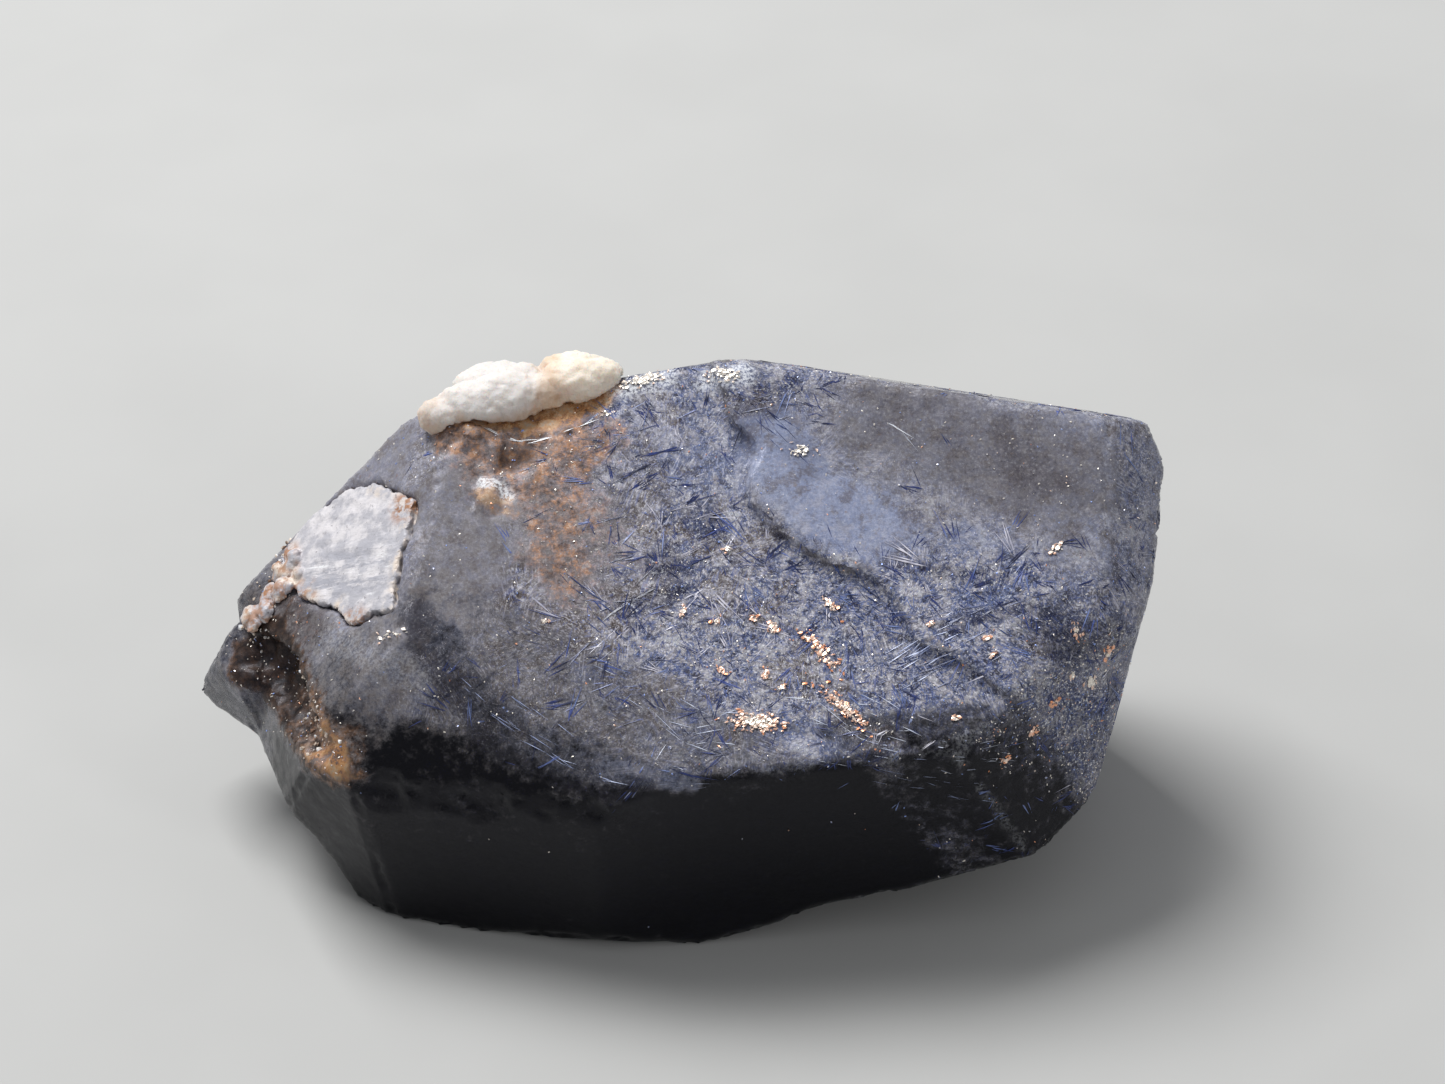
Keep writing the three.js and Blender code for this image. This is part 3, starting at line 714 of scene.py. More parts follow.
def quartz_finish(settings):
    """Grey-violet see-through quartz with milky clouds, a mat of fibres, smoke, rust and white crushed
    places, with painted highlights, painted glow and painted shade.
    """
    look = Finish("clouded_quartz")
    zone = {name: look.attribute(name) for name in (*ZONES, "rust", "amber", "frost")}
    patches = look.noise(1.0, 8, 0.8)
    broad = look.noise(1.6, 3, 0.6)
    mottle = look.noise(0.3, 6, 0.75)
    grain = look.noise(0.09, 4, 0.75)
    long_needles = look.needles(0.9, 0.95, 0.045, 0.56, 0.64)
    dark_needles = look.needles(0.8, 0.9, 0.06, 0.55, 0.63)

    def lay(share, under, over, strength=1.0):
        return look.mix(look.times(share, strength), under, over)

    def ragged(name, bare=-0.05, full=1.05, amount=2.0):
        """A zone whose edges are broken up by the mottle."""
        return look.span(look.plus(zone[name], look.times(look.minus(mottle, 0.5), amount)), bare, full)

    milky = look.times(ragged("haze"), look.span(mottle, 0.35, 0.6, 0.7, 1))
    colour = lay(milky, settings.body_colour, settings.haze_colour)
    veins = look.noise(0.7, 8, 0.8)
    colour = lay(look.span(veins, 0.51, 0.4), colour, settings.brown_colour, 0.6)
    colour = lay(look.span(veins, 0.52, 0.64), colour, settings.pale_colour, 0.45)
    smoky = look.times(ragged("smoke"), look.span(broad, 0.35, 0.6, 0.4, 1))
    colour = lay(smoky, colour, settings.smoke_colour)
    flecks = look.noise(0.2, 4, 0.7)
    blend = look.plus(look.times(patches, 0.4), look.plus(look.times(mottle, 0.35), look.times(flecks, 0.25)))
    blend = look.span(blend, 0.38, 0.66)
    cool = look.ramp(blend, (0.14, settings.navy_colour), (0.32, settings.steel_colour),
                     (0.47, settings.body_colour), (0.6, settings.pale_colour), (0.78, settings.white_and_highlight_colour))
    warm = look.ramp(blend, (0.14, settings.dark_rust_colour), (0.33, settings.brown_colour),
                     (0.5, settings.body_colour), (0.7, settings.pale_colour))
    fibrous = zone["fibres"]
    warmth = look.plus(broad, look.attribute("warmth"))
    colour = lay(fibrous, colour, look.mix(look.span(warmth, 0.48, 0.62), cool, warm), 0.85)
    colour = lay(look.times(fibrous, long_needles), colour, settings.pale_colour, 0.4)
    colour = lay(look.times(fibrous, dark_needles), colour, settings.blue_colour, 0.6)
    # Dense dark blue fibres, and the painted shadow along the ledge.
    dark_blue = look.times(ragged("navy"), look.span(mottle, 0.35, 0.6, 1, 0.4))
    colour = lay(dark_blue, colour, settings.navy_colour)
    specks = look.plus(look.plus(look.times(fibrous, 0.6), 0.12), look.attribute("sparkles"))
    colour = lay(look.times(specks, look.span(grain, 0.56, 0.65)), colour, settings.white_and_highlight_colour, 0.8)
    colour = lay(look.times(specks, look.span(grain, 0.42, 0.35)), colour, settings.navy_colour, 0.55)
    broken = look.span(look.plus(mottle, grain), 0.88, 1.08, 0.5, 1)
    stain = look.ramp(
        look.noise(0.35, 8, 0.8),
        (0.4, settings.dark_rust_colour),
        (0.46, settings.rust_colour),
        (0.51, settings.tan_colour),
        (0.57, settings.amber_colour),
        (0.66, settings.cream_colour),
    )
    colour = lay(look.times(ragged("rust", 0.15, 0.95), broken), colour, stain, 0.88)
    # Amber stain, with a painted glow where light would come through.
    amber = look.ramp(look.noise(0.3, 6, 0.75), (0.38, settings.rust_colour), (0.46, settings.amber_colour),
                      (0.56, settings.painted_glow_colour), (0.68, settings.cream_colour))
    colour = lay(ragged("amber", 0.15, 0.95), colour, amber, 0.95)
    # Darker brown where smoke and rust meet; at the cleft's top end this is painted shadow.
    colour = lay(look.times(zone["smoke"], zone["rust"]), colour, settings.dark_rust_colour, 0.8)
    # Painted shade: near black on faces turned down or away from the light, in the veil and in the cleft.
    colour = lay(ragged("deep", 0.12, 0.84, 1.4), colour, settings.painted_shade_colour)
    # Frosted white, with painted highlights along the ridges, at the top ridge and on the bead.
    white_and_highlight_share = look.times(zone["frost"], look.span(grain, 0.42, 0.56))
    colour = look.mix(white_and_highlight_share, colour, settings.white_and_highlight_colour)

    opaque = look.plus(look.times(fibrous, look.plus(long_needles, dark_needles)), white_and_highlight_share)
    clear = look.minus(zone["clear"], look.times(opaque, 0.5))
    clear = look.times(clear, look.span(grain, 0.3, 0.7, 1, 0.7))
    rough = look.plus(look.times(fibrous, 0.12), look.times(zone["rust"], 0.2))
    rough = look.plus(look.plus(rough, look.times(white_and_highlight_share, 0.35)), look.span(mottle, 0.35, 0.65, 0.06, 0.2))
    height = look.plus(look.times(grain, look.plus(fibrous, 0.2)), look.times(mottle, 1.5))
    material = look.surface(
        Base_Color=colour,
        Transmission_Weight=look.maths("MAXIMUM", clear, 0.0, clamp=True),
        Roughness=look.maths("MINIMUM", rough, 0.8),
        IOR=1.54,
        Specular_IOR_Level=0.2,
        Specular_Tint=rgba(settings.tint_colour),
        Normal=look.bump(height, 0.012),
    )
    inputs = {"Color": rgba(settings.absorbed_colour), "Density": settings.absorption}
    depth = look.add("ShaderNodeVolumeAbsorption", inputs)
    look.tree.links.new(depth.outputs[0], look.output.inputs["Volume"])
    return material


class CRYSTAL_OT_quartz(bpy.types.Operator):
    """Makes the quartz body with its rough, worn and see-through faces"""

    bl_idname = "crystal.quartz"
    bl_label = "Finish the quartz"

    def execute(self, context):
        settings = context.scene.crystal_quartz
        mesh, away = fine_mesh("quartz_crystal", settings.grain / MM)
        ridge = eased(0.2, 0.06, away)
        zones = paint_zones(mesh, ridge)
        points, _ = mesh_places(mesh)
        plate = np.linalg.norm(points - Face("upper_left").place(*PLATE_MIDDLE), axis=1)
        dense = zones["fibres"] * eased(0.15, 0.45, zones["fibres"])
        dense = dense * eased(0.1, 0.5, away) * eased(0.3, 1.0, points[:, 2])
        zones["sprays"] = dense * eased(2.8, 3.6, plate)
        zones["pale_sprays"] = zones["sprays"] * eased(0.5, 0.8, zones["fibres"])
        zones["sparkles"] = sparkling(mesh, zones)
        for name, values in zones.items():
            store(mesh, name, values)
        roughen(mesh, zones, ridge, settings)
        finish_piece("clouded_quartz", mesh, quartz_finish(settings), "quartz_crystal")
        return {"FINISHED"}


# The fibres.


def add_needle(bm, start, end, radius, sides=3):
    """A closed needle that is thickest in the middle."""
    way = end - start
    across = way.orthogonal().normalized() * radius
    ring = [
        bm.verts.new(start + way * 0.45 + Matrix.Rotation(math.tau * i / sides, 3, way) @ across)
        for i in range(sides)
    ]
    tips = bm.verts.new(start), bm.verts.new(end)
    for i, corner in enumerate(ring):
        after = ring[(i + 1) % sides]
        bm.faces.new((tips[0], after, corner))
        bm.faces.new((tips[1], corner, after))


def spray(settings, draw):
    """A fan of fibres that lie nearly flat and dip inwards, all from about one root."""
    bm = bmesh.new()
    opening = draw.choice((0.12, 0.3, 0.5, 0.9))
    longest = settings.longest / MM
    for _ in range(settings.per_spray):
        angle = draw.uniform(-opening, opening)
        rise = draw.uniform(-0.06, 0.015)
        length = longest * draw.uniform(0.35, 1)
        way = Vector((math.cos(angle), math.sin(angle), rise)).normalized()
        root = Vector((draw.uniform(-0.25, 0.1), draw.uniform(-0.06, 0.06), draw.uniform(-0.02, 0.005)))
        radius = settings.thickness / MM / 2 * draw.uniform(0.6, 1.3)
        add_needle(bm, root, root + way * length, radius)
    bmesh.ops.recalc_face_normals(bm, faces=bm.faces)
    bmesh.ops.scale(bm, vec=(MM,) * 3, verts=bm.verts)
    return mesh_of("spray", bm)


SCATTER_INPUTS = (
    ("Geometry", "NodeSocketGeometry"),
    ("Shapes", "NodeSocketCollection"),
    ("Zone", "NodeSocketString"),
    ("Per Square Metre", "NodeSocketFloat"),
    ("Smallest", "NodeSocketFloat"),
    ("Largest", "NodeSocketFloat"),
    ("Deepest", "NodeSocketFloat"),
    ("Shallowest", "NodeSocketFloat"),
    ("Lean", "NodeSocketFloat"),
    ("Proud", "NodeSocketFloat"),
    ("Seed", "NodeSocketInt"),
    ("Material", "NodeSocketMaterial"),
)


def laid_down(nodes, copies, surface, proud):
    """Moves what stands out too far from the surface back towards it, so that it follows the faces."""
    place = nodes.add("GeometryNodeInputPosition").outputs[0]
    near = nodes.add("GeometryNodeProximity", {0: surface}, target_element="FACES")
    nearest = nodes.pick(near.outputs, "Position")
    distance = nodes.pick(near.outputs, "Distance")
    normal = nodes.add("GeometryNodeInputNormal").outputs[0]
    inputs = {"Mesh": surface, "Value": normal, "Sample Position": nearest}
    normal = nodes.add("GeometryNodeSampleNearestSurface", inputs, data_type="FLOAT_VECTOR").outputs[0]
    away = nodes.vector_maths("SUBTRACT", place, nearest)
    outside = nodes.maths("GREATER_THAN", nodes.vector_maths("DOT_PRODUCT", away, normal), 0.0)
    far = nodes.maths("GREATER_THAN", distance, proud)
    moved = nodes.maths("MULTIPLY", outside, far)
    inputs = {0: away, "Scale": nodes.maths("DIVIDE", proud, distance)}
    step = nodes.add("ShaderNodeVectorMath", inputs, operation="SCALE").outputs[0]
    back = nodes.vector_maths("ADD", nearest, step)
    inputs = {"Geometry": copies, "Selection": moved, "Position": back}
    return nodes.add("GeometryNodeSetPosition", inputs).outputs[0]


def scatter_tree():
    """A node tree that lays copies of a shape on a surface, as thickly as a named zone says."""
    tree = bpy.data.node_groups.new("scatter_on_zone", "GeometryNodeTree")
    for name, kind in SCATTER_INPUTS:
        tree.interface.new_socket(name, in_out="INPUT", socket_type=kind)
    tree.interface.new_socket("Geometry", in_out="OUTPUT", socket_type="NodeSocketGeometry")
    nodes = Tree(tree)
    given = nodes.add("NodeGroupInput").outputs
    zone = nodes.add("GeometryNodeInputNamedAttribute", {"Name": given["Zone"]}, data_type="FLOAT")
    density = nodes.maths("MULTIPLY", zone.outputs[0], given["Per Square Metre"])
    inputs = {"Mesh": given["Geometry"], "Density": density, "Seed": given["Seed"]}
    points = nodes.add("GeometryNodeDistributePointsOnFaces", inputs, distribute_method="RANDOM")
    inputs = {"Collection": given["Shapes"], "Separate Children": True, "Reset Children": True}
    shapes = nodes.add("GeometryNodeCollectionInfo", inputs).outputs[0]

    def chance(low, high, extra):
        seed = nodes.add("FunctionNodeIntegerMath", {0: given["Seed"], 1: extra}, operation="ADD").outputs[0]
        node = nodes.add("FunctionNodeRandomValue", data_type="FLOAT")
        for name, value in (("Min", low), ("Max", high), ("Seed", seed)):
            nodes.feed(nodes.pick(node.inputs, name), value)
        return nodes.pick(node.outputs, "Value")

    back = nodes.maths("MULTIPLY", given["Lean"], -1.0)
    angles = {
        "X": chance(back, given["Lean"], 11),
        "Y": chance(back, given["Lean"], 23),
        "Z": chance(0.0, math.tau, 37),
    }
    turn = nodes.add("ShaderNodeCombineXYZ", angles).outputs[0]
    turn = nodes.add("FunctionNodeEulerToRotation", {0: turn}).outputs[0]
    inputs = {"Rotation": points.outputs["Rotation"], "Rotate By": turn}
    turned = nodes.add("FunctionNodeRotateRotation", inputs, rotation_space="LOCAL").outputs[0]
    inputs = {
        "Points": points.outputs["Points"],
        "Instance": shapes,
        "Pick Instance": True,
        "Rotation": turned,
        "Scale": chance(given["Smallest"], given["Largest"], 5),
    }
    copies = nodes.add("GeometryNodeInstanceOnPoints", inputs).outputs[0]
    inputs = {"Z": chance(given["Deepest"], given["Shallowest"], 51)}
    sunk = nodes.add("ShaderNodeCombineXYZ", inputs).outputs[0]
    inputs = {"Instances": copies, "Translation": sunk}
    copies = nodes.add("GeometryNodeTranslateInstances", inputs).outputs[0]
    real = nodes.add("GeometryNodeRealizeInstances", {"Geometry": copies}).outputs[0]
    real = laid_down(nodes, real, given["Geometry"], given["Proud"])
    inputs = {"Geometry": real, "Material": given["Material"]}
    finished = nodes.add("GeometryNodeSetMaterial", inputs).outputs[0]
    nodes.add("NodeGroupOutput", {"Geometry": finished})
    return tree


def scatter(name, shape_meshes, **values):
    """Makes a piece of copies of some shapes, laid on the quartz's surface by the node tree."""
    tree = bpy.data.node_groups.get("scatter_on_zone") or scatter_tree()
    shapes = bpy.data.collections.new(name + "_shapes")
    for mesh in shape_meshes:
        shapes.objects.link(bpy.data.objects.new(mesh.name, mesh))
    holder = bpy.data.objects.new(name, bpy.data.objects["clouded_quartz"].data)
    bpy.context.scene.collection.objects.link(holder)
    modifier = holder.modifiers.new("Scatter", "NODES")
    modifier.node_group = tree
    identifiers = {item.name: item.identifier for item in tree.interface.items_tree if item.in_out == "INPUT"}
    modifier[identifiers["Shapes"]] = shapes
    for key, value in values.items():
        modifier[identifiers[key.replace("_", " ")]] = value
    evaluated = holder.evaluated_get(bpy.context.evaluated_depsgraph_get())
    mesh = bpy.data.meshes.new_from_object(evaluated)
    holder.modifiers.remove(modifier)
    bpy.data.objects.remove(holder)
    for shape in list(shapes.objects):
        bpy.data.objects.remove(shape)
    bpy.data.collections.remove(shapes)
    add_piece(name, mesh)


def fibre_finish(name, colour, other):
    """Fibres of one colour, which varies a little from place to place."""
    look = Finish(name)
    blend = look.mix(look.span(look.noise(0.4, 2), 0.35, 0.65), colour, other)
    return look.surface(Base_Color=blend, Roughness=look.patchy(0.1, 0.25, 0.5))


class CRYSTAL_OT_fibres(bpy.types.Operator):
    """Lays sprays of dark, blue and pale fibres in the quartz's surface"""

    bl_idname = "crystal.fibres"
    bl_label = "Lay the fibres"

    def execute(self, context):
        settings = context.scene.crystal_fibres
        quartz = context.scene.crystal_quartz
        draw = random.Random(settings.seed)
        kinds = (
            (
                "dark_fibres", "sprays", settings.navy_sprays,
                quartz.navy_colour, settings.ink_colour, 0.05,
            ),
            (
                "blue_fibres", "sprays", settings.steel_sprays,
                quartz.steel_colour, settings.indigo_colour, 0.1,
            ),
            (
                "pale_fibres", "pale_sprays", settings.pale_sprays,
                quartz.pale_colour, settings.lilac_colour, 0.12,
            ),
        )
        for i, (name, zone, count, colour, other, deepest) in enumerate(kinds):
            scatter(
                name, [spray(settings, draw) for _ in range(settings.shapes)],
                Zone=zone,
                Per_Square_Metre=count / MM**2,
                Smallest=0.35,
                Largest=1.25,
                Deepest=-deepest * MM,
                Shallowest=0.01 * MM,
                Lean=0.05,
                Proud=0.02 * MM,
                Seed=settings.seed + i,
                Material=fibre_finish(name, colour, other),
            )
        return {"FINISHED"}


# The single threads.

# Bundles of threads that stand out: face, line, how many, how far they stray, thickness, and how pale.
THREADS = [
    ("main", [(-2.1, -0.3), (-0.8, 0.55)], 7, 0.1, 0.06, 0.0),
    ("main", [(-1.7, 0.2), (-0.4, 0.5)], 4, 0.08, 0.045, 0.1),
    ("main", [(-1.0, 1.6), (0.2, 0.7)], 5, 0.12, 0.05, 0.05),
    ("main", [(6.6, -0.6), (9.1, 0.1)], 14, 0.16, 0.05, 0.1),
    ("main", [(6.9, -1.3), (9.0, -0.5)], 8, 0.2, 0.04, 0.25),
    ("main", [(6.97, 5.16), (7.5, 4.28)], 3, 0.05, 0.05, 0.1),
    ("main", [(2.2, 6.1), (1.5, 4.9)], 6, 0.15, 0.045, 0.05),
    ("main", [(1.6, 5.6), (2.9, 5.9)], 5, 0.15, 0.045, 0.1),
    ("main", [(4.6, 0.2), (5.6, -1.2)], 6, 0.15, 0.045, 0.1),
    ("main", [(5.6, 5.3), (6.0, 5.05), (6.4, 4.57)], 4, 0.03, 0.03, 0.95),
    ("main", [(-5.56, 5.42), (-4.54, 5.0), (-3.72, 5.03), (-3.04, 5.3), (-2.15, 5.81)], 14, 0.03, 0.035, 1.0),
    ("front_left", [(-5.4, -1.0), (-3.5, -2.2), (-1.7, -3.0), (0.3, -3.3)], 22, 0.1, 0.022, 0.55),
    ("front_left", [(-4.6, -0.6), (-3.0, -1.7), (-1.2, -2.5)], 12, 0.15, 0.02, 0.5),
    ("front_left", [(0.4, -3.4), (1.0, -2.3)], 9, 0.14, 0.026, 0.8),
    ("front_left", [(1.0, -3.1), (2.2, -2.9)], 6, 0.12, 0.024, 0.7),
    ("dark_right", [(-2.7, 1.9), (-0.1, 1.3), (1.2, 1.5)], 20, 0.2, 0.022, 0.75),
    ("dark_right", [(2.6, 1.6), (5.6, 1.3), (8.2, 0.2)], 52, 0.28, 0.026, 0.8),
    ("dark_right", [(5.0, 0.6), (7.9, -0.6)], 18, 0.3, 0.022, 0.6),
    ("main", [(3.9, 1.9), (5.4, -0.6)], 16, 0.3, 0.04, 0.15),
    ("main", [(4.6, 0.9), (7.2, -1.8)], 22, 0.35, 0.04, 0.12),
    ("main", [(5.2, -1.9), (7.6, -0.6)], 26, 0.35, 0.035, 0.6),
    ("main", [(5.0, -2.4), (8.4, -1.0)], 26, 0.4, 0.04, 0.15),
    ("main", [(7.6, 0.6), (9.6, -1.6)], 18, 0.3, 0.045, 0.1),
    ("main", [(9.4, 0.2), (10.8, -1.4)], 14, 0.25, 0.045, 0.08),
    ("main", [(1.4, 6.2), (2.9, 4.7)], 16, 0.3, 0.045, 0.1),
    ("main", [(-3.2, 0.9), (-1.2, -1.1)], 14, 0.3, 0.04, 0.15),
    ("main", [(0.2, 2.9), (1.6, 1.1)], 14, 0.3, 0.04, 0.12),
]
THREAD_LENGTHS = (0.35, 1.0)


def on_line(line, share):
    """The place at a share of the way along a line of straight stretches, and the way it runs there."""
    corners = [Vector(corner) for corner in line]
    steps = [(end - start).length for start, end in zip(corners, corners[1:])]
    rest = share * sum(steps)
    for start, end, step in zip(corners, corners[1:], steps):
        if rest <= step:
            break
        rest -= step
    return start.lerp(end, min(1, rest / step)), (end - start).normalized()


def thread_finish(quartz):
    """Threads from dark blue to white."""
    look = Finish("single_threads")
    colour = look.ramp(
        look.plus(look.attribute("tone"), look.patchy(0.3, -0.1, 0.1)),
        (0.0, quartz.navy_colour),
        (0.25, quartz.blue_colour),
        (0.6, quartz.haze_colour),
        (1.0, quartz.white_and_highlight_colour),
    )
    return look.surface(Base_Color=colour, Roughness=look.patchy(0.1, 0.2, 0.4))


class CRYSTAL_OT_threads(bpy.types.Operator):
    """Lays the single threads that stand out, along their lines on the faces"""

    bl_idname = "crystal.threads"
    bl_label = "Lay the single threads"

    def execute(self, context):
        draw = random.Random(context.scene.crystal_fibres.seed)
        body = bpy.data.objects["clouded_quartz"]
        bm = bmesh.new()
        layer = bm.verts.layers.float.new("tone")
        for face_name, line, count, stray, thickness, tone in THREADS:
            face = Face(face_name)
            for _ in range(count):
                place, way = on_line(line, draw.uniform(0.05, 0.95))
                place = place + Vector((draw.gauss(0, stray), draw.gauss(0, stray)))
                angle = math.atan2(way.y, way.x) + draw.gauss(0, 0.12)
                step = Vector((math.cos(angle), math.sin(angle))) * draw.uniform(*THREAD_LENGTHS) / 2
                start = on_surface(body, face, *(place - step), 0)
                end = on_surface(body, face, *(place + step), 0)
                known = len(bm.verts)
                add_needle(bm, start, end, thickness / 2 * draw.uniform(0.6, 1.2))
                bm.verts.ensure_lookup_table()
                for vert in bm.verts[known:]:
                    vert[layer] = tone
        bmesh.ops.recalc_face_normals(bm, faces=bm.faces)
        material = thread_finish(context.scene.crystal_quartz)
        finish_piece("single_threads", mesh_of("threads", bm), material)
        return {"FINISHED"}


# The crumbs and the sparkles.

CRUMB_SIZE = 0.15
FLAKE_SIZE = 0.085
SCATTERED_SHAPES = 6


def crumb(draw, size):
    """A small angular lump."""
    bm = bmesh.new()
    bmesh.ops.create_icosphere(bm, subdivisions=1, radius=size * MM / 2)
    stretch = (draw.uniform(0.7, 1.3), draw.uniform(0.6, 1.1), draw.uniform(0.5, 0.9))
    for vert in bm.verts:
        vert.co = Vector([a * b * draw.uniform(0.7, 1.2) for a, b in zip(vert.co, stretch)])
    return mesh_of("crumb", bm)


def crumb_finish(quartz):
    """Crumbs that are white, cream or rusty from place to place."""
    look = Finish("stained_crumbs")
    colour = look.ramp(
        look.noise(0.35, 2, 0.6),
        (0.36, quartz.rust_colour),
        (0.5, quartz.cream_colour),
        (0.62, quartz.white_and_highlight_colour),
    )
    return look.surface(Base_Color=colour, Roughness=look.patchy(0.1, 0.35, 0.65))


class CRYSTAL_OT_crumbs(bpy.types.Operator):
    """Scatters crumbs in the rusty cleft and along the plate's lower left margin"""

    bl_idname = "crystal.crumbs"
    bl_label = "Scatter the crumbs"

    def execute(self, context):
        settings = context.scene.crystal_plate
        draw = random.Random(settings.seed)
        scatter(
            "stained_crumbs", [crumb(draw, CRUMB_SIZE) for _ in range(SCATTERED_SHAPES)],
            Zone="crumbs",
            Per_Square_Metre=settings.crumbs / MM**2,
            Smallest=0.35,
            Largest=1.3,
            Deepest=-0.03 * MM,
            Shallowest=0.03 * MM,
            Lean=1.5,
            Proud=0.15 * MM,
            Seed=settings.seed,
            Material=crumb_finish(context.scene.crystal_quartz),
        )
        return {"FINISHED"}


def flake(draw, size):
    """A thin flat flake of ragged outline."""
    bm = bmesh.new()
    bm.verts.layers.float.new("tone")
    width = size * draw.uniform(0.4, 0.9)
    add_scale(bm, Vector(), Vector((0, 0, 1)), Vector((1, 0, 0)), size, width, 0, draw)
    bmesh.ops.scale(bm, vec=(MM,) * 3, verts=bm.verts)
    return mesh_of("flake", bm)


def sparkle_finish(settings):
    """Bright flakes: most are white, some blue and some copper."""
    look = Finish("sparkle_flakes")
    colour = look.ramp(
        look.noise(0.25, 1),
        (0.38, settings.blue_colour),
        (0.46, settings.white_colour),
        (0.6, settings.white_colour),
        (0.68, settings.copper_colour),
    )
    return look.surface(Base_Color=colour, Metallic=0.4, Roughness=look.patchy(0.08, 0.2, 0.4))


class CRYSTAL_OT_sparkles(bpy.types.Operator):
    """Scatters tiny bright flakes over the fibrous faces"""

    bl_idname = "crystal.sparkles"
    bl_label = "Scatter the sparkles"

    def execute(self, context):
        settings = context.scene.crystal_glints
        draw = random.Random(settings.seed)
        scatter(
            "sparkle_flakes", [flake(draw, FLAKE_SIZE) for _ in range(SCATTERED_SHAPES)],
            Zone="sparkles",
            Per_Square_Metre=settings.sparkles / MM**2,
            Smallest=0.45,
            Largest=1.4,
            Deepest=0.0,
            Shallowest=0.02 * MM,
            Lean=0.7,
            Proud=0.05 * MM,
            Seed=settings.seed,
            Material=sparkle_finish(settings),
        )
        return {"FINISHED"}


# The glints.

# Clusters of bright scales: face, place, length, width, turn in degrees, how many times CROWDING scales
# there are, and how white they are.
GLINTS = [
    ("main", (1.95, -3.25), 1.15, 0.42, -6, 90, 0.5),
    ("main", (4.3, -2.9), 1.5, 0.3, -42, 56, 0.3),
    ("main", (3.8, -1.4), 0.9, 0.28, -50, 34, 0.3),
    ("main", (3.4, -0.9), 0.5, 0.2, -30, 12, 0.2),
    ("main", (2.4, -0.6), 0.35, 0.25, 60, 16, 0.4),
    ("main", (3.9, 0.1), 0.6, 0.15, -50, 12, 0.4),
    ("main", (2.2, -1.9), 0.25, 0.15, 80, 8, 0.4),
    ("main", (1.9, -0.3), 0.2, 0.15, 0, 5, 0.3),
    ("main", (1.2, 1.7), 0.22, 0.12, 0, 5, 0.6),
    ("main", (0.0, -0.1), 0.25, 0.15, 70, 6, 0.5),
    ("main", (0.9, -0.4), 0.3, 0.2, 70, 8, 0.4),
    ("main", (1.0, -1.8), 0.25, 0.1, -50, 5, 0.3),
    ("main", (2.6, -2.3), 0.2, 0.15, 20, 6, 0.4),
    ("main", (10.0, 1.6), 0.4, 0.15, 40, 9, 0.6),
    ("main", (7.2, -3.2), 0.2, 0.15, 0, 6, 0.4),
    ("main", (8.1, -1.0), 0.2, 0.12, 30, 4, 0.3),
    ("main", (8.2, -1.5), 0.25, 0.15, 30, 6, 0.3),
    ("main", (6.6, -0.6), 0.2, 0.1, 0, 4, 0.4),
    ("main", (-3.7, -0.4), 0.2, 0.12, 0, 4, 0.6),
    ("main", (-1.1, 6.8), 0.95, 0.25, 18, 44, 1.0),
    ("main", (1.1, 6.8), 0.6, 0.35, -10, 30, 1.0),
    ("main", (-2.1, 5.8), 0.3, 0.15, 20, 6, 0.8),
    ("main", (3.2, 4.5), 0.5, 0.35, 0, 14, 0.95),
    ("upper_left", (-0.8, -4.3), 1.2, 0.3, 70, 7, 0.7),
    ("right_front", (7.8, -0.35), 0.25, 0.25, 60, 16, 1.0),
    ("right_front", (7.2, 0.1), 0.2, 0.12, 60, 6, 0.6),
    ("right_front", (7.6, 1.2), 0.3, 0.2, 60, 8, 0.4),
    ("right_front", (8.4, 0.3), 0.35, 0.2, 60, 8, 0.3),
    ("right_front", (6.6, -0.5), 0.3, 0.15, 20, 6, 0.2),
    ("right_front", (5.8, -1.1), 0.3, 0.15, 40, 6, 0.2),
    ("right_front", (4.9, -1.6), 0.3, 0.15, 0, 6, 0.2),
]
CROWDING = 3
SCALE_CORNERS = 5
SCALE_THICKNESS = 0.014


def add_scale(bm, middle, facing, along, length, width, tone, draw):
    """A thin closed scale: a ragged ring of corners, with a low peak on each side."""
    layer = bm.verts.layers.float["tone"]
    across = facing.cross(along).normalized()
    along = across.cross(facing).normalized()
    ring = []
    for i in range(SCALE_CORNERS):
        angle = math.tau * (i + draw.uniform(-0.3, 0.3)) / SCALE_CORNERS
        reach = draw.uniform(0.6, 1)
        step = along * (math.cos(angle) * length / 2 * reach) + across * (math.sin(angle) * width / 2 * reach)
        ring.append(bm.verts.new(middle + step))
    peaks = [bm.verts.new(middle + facing * height) for height in (SCALE_THICKNESS, -SCALE_THICKNESS)]
    for i, corner in enumerate(ring):
        after = ring[(i + 1) % SCALE_CORNERS]
        bm.faces.new((corner, after, peaks[0]))
        bm.faces.new((after, corner, peaks[1]))
    for vert in (*ring, *peaks):
        vert[layer] = tone


def jittered(vector, amount, draw):
    return (vector + Vector([draw.gauss(0, amount) for _ in range(3)])).normalized()


def glint_finish(settings):
    """Bright scales, from copper to white."""
    look = Finish("glint_scales")
    share = look.plus(look.attribute("tone"), look.patchy(0.12, -0.25, 0.25))
    share = look.maths("MAXIMUM", share, 0.0, clamp=True)
    colour = look.mix(share, settings.copper_colour, settings.white_colour)
    return look.surface(Base_Color=colour, Metallic=0.55, Roughness=look.patchy(0.08, 0.22, 0.42))


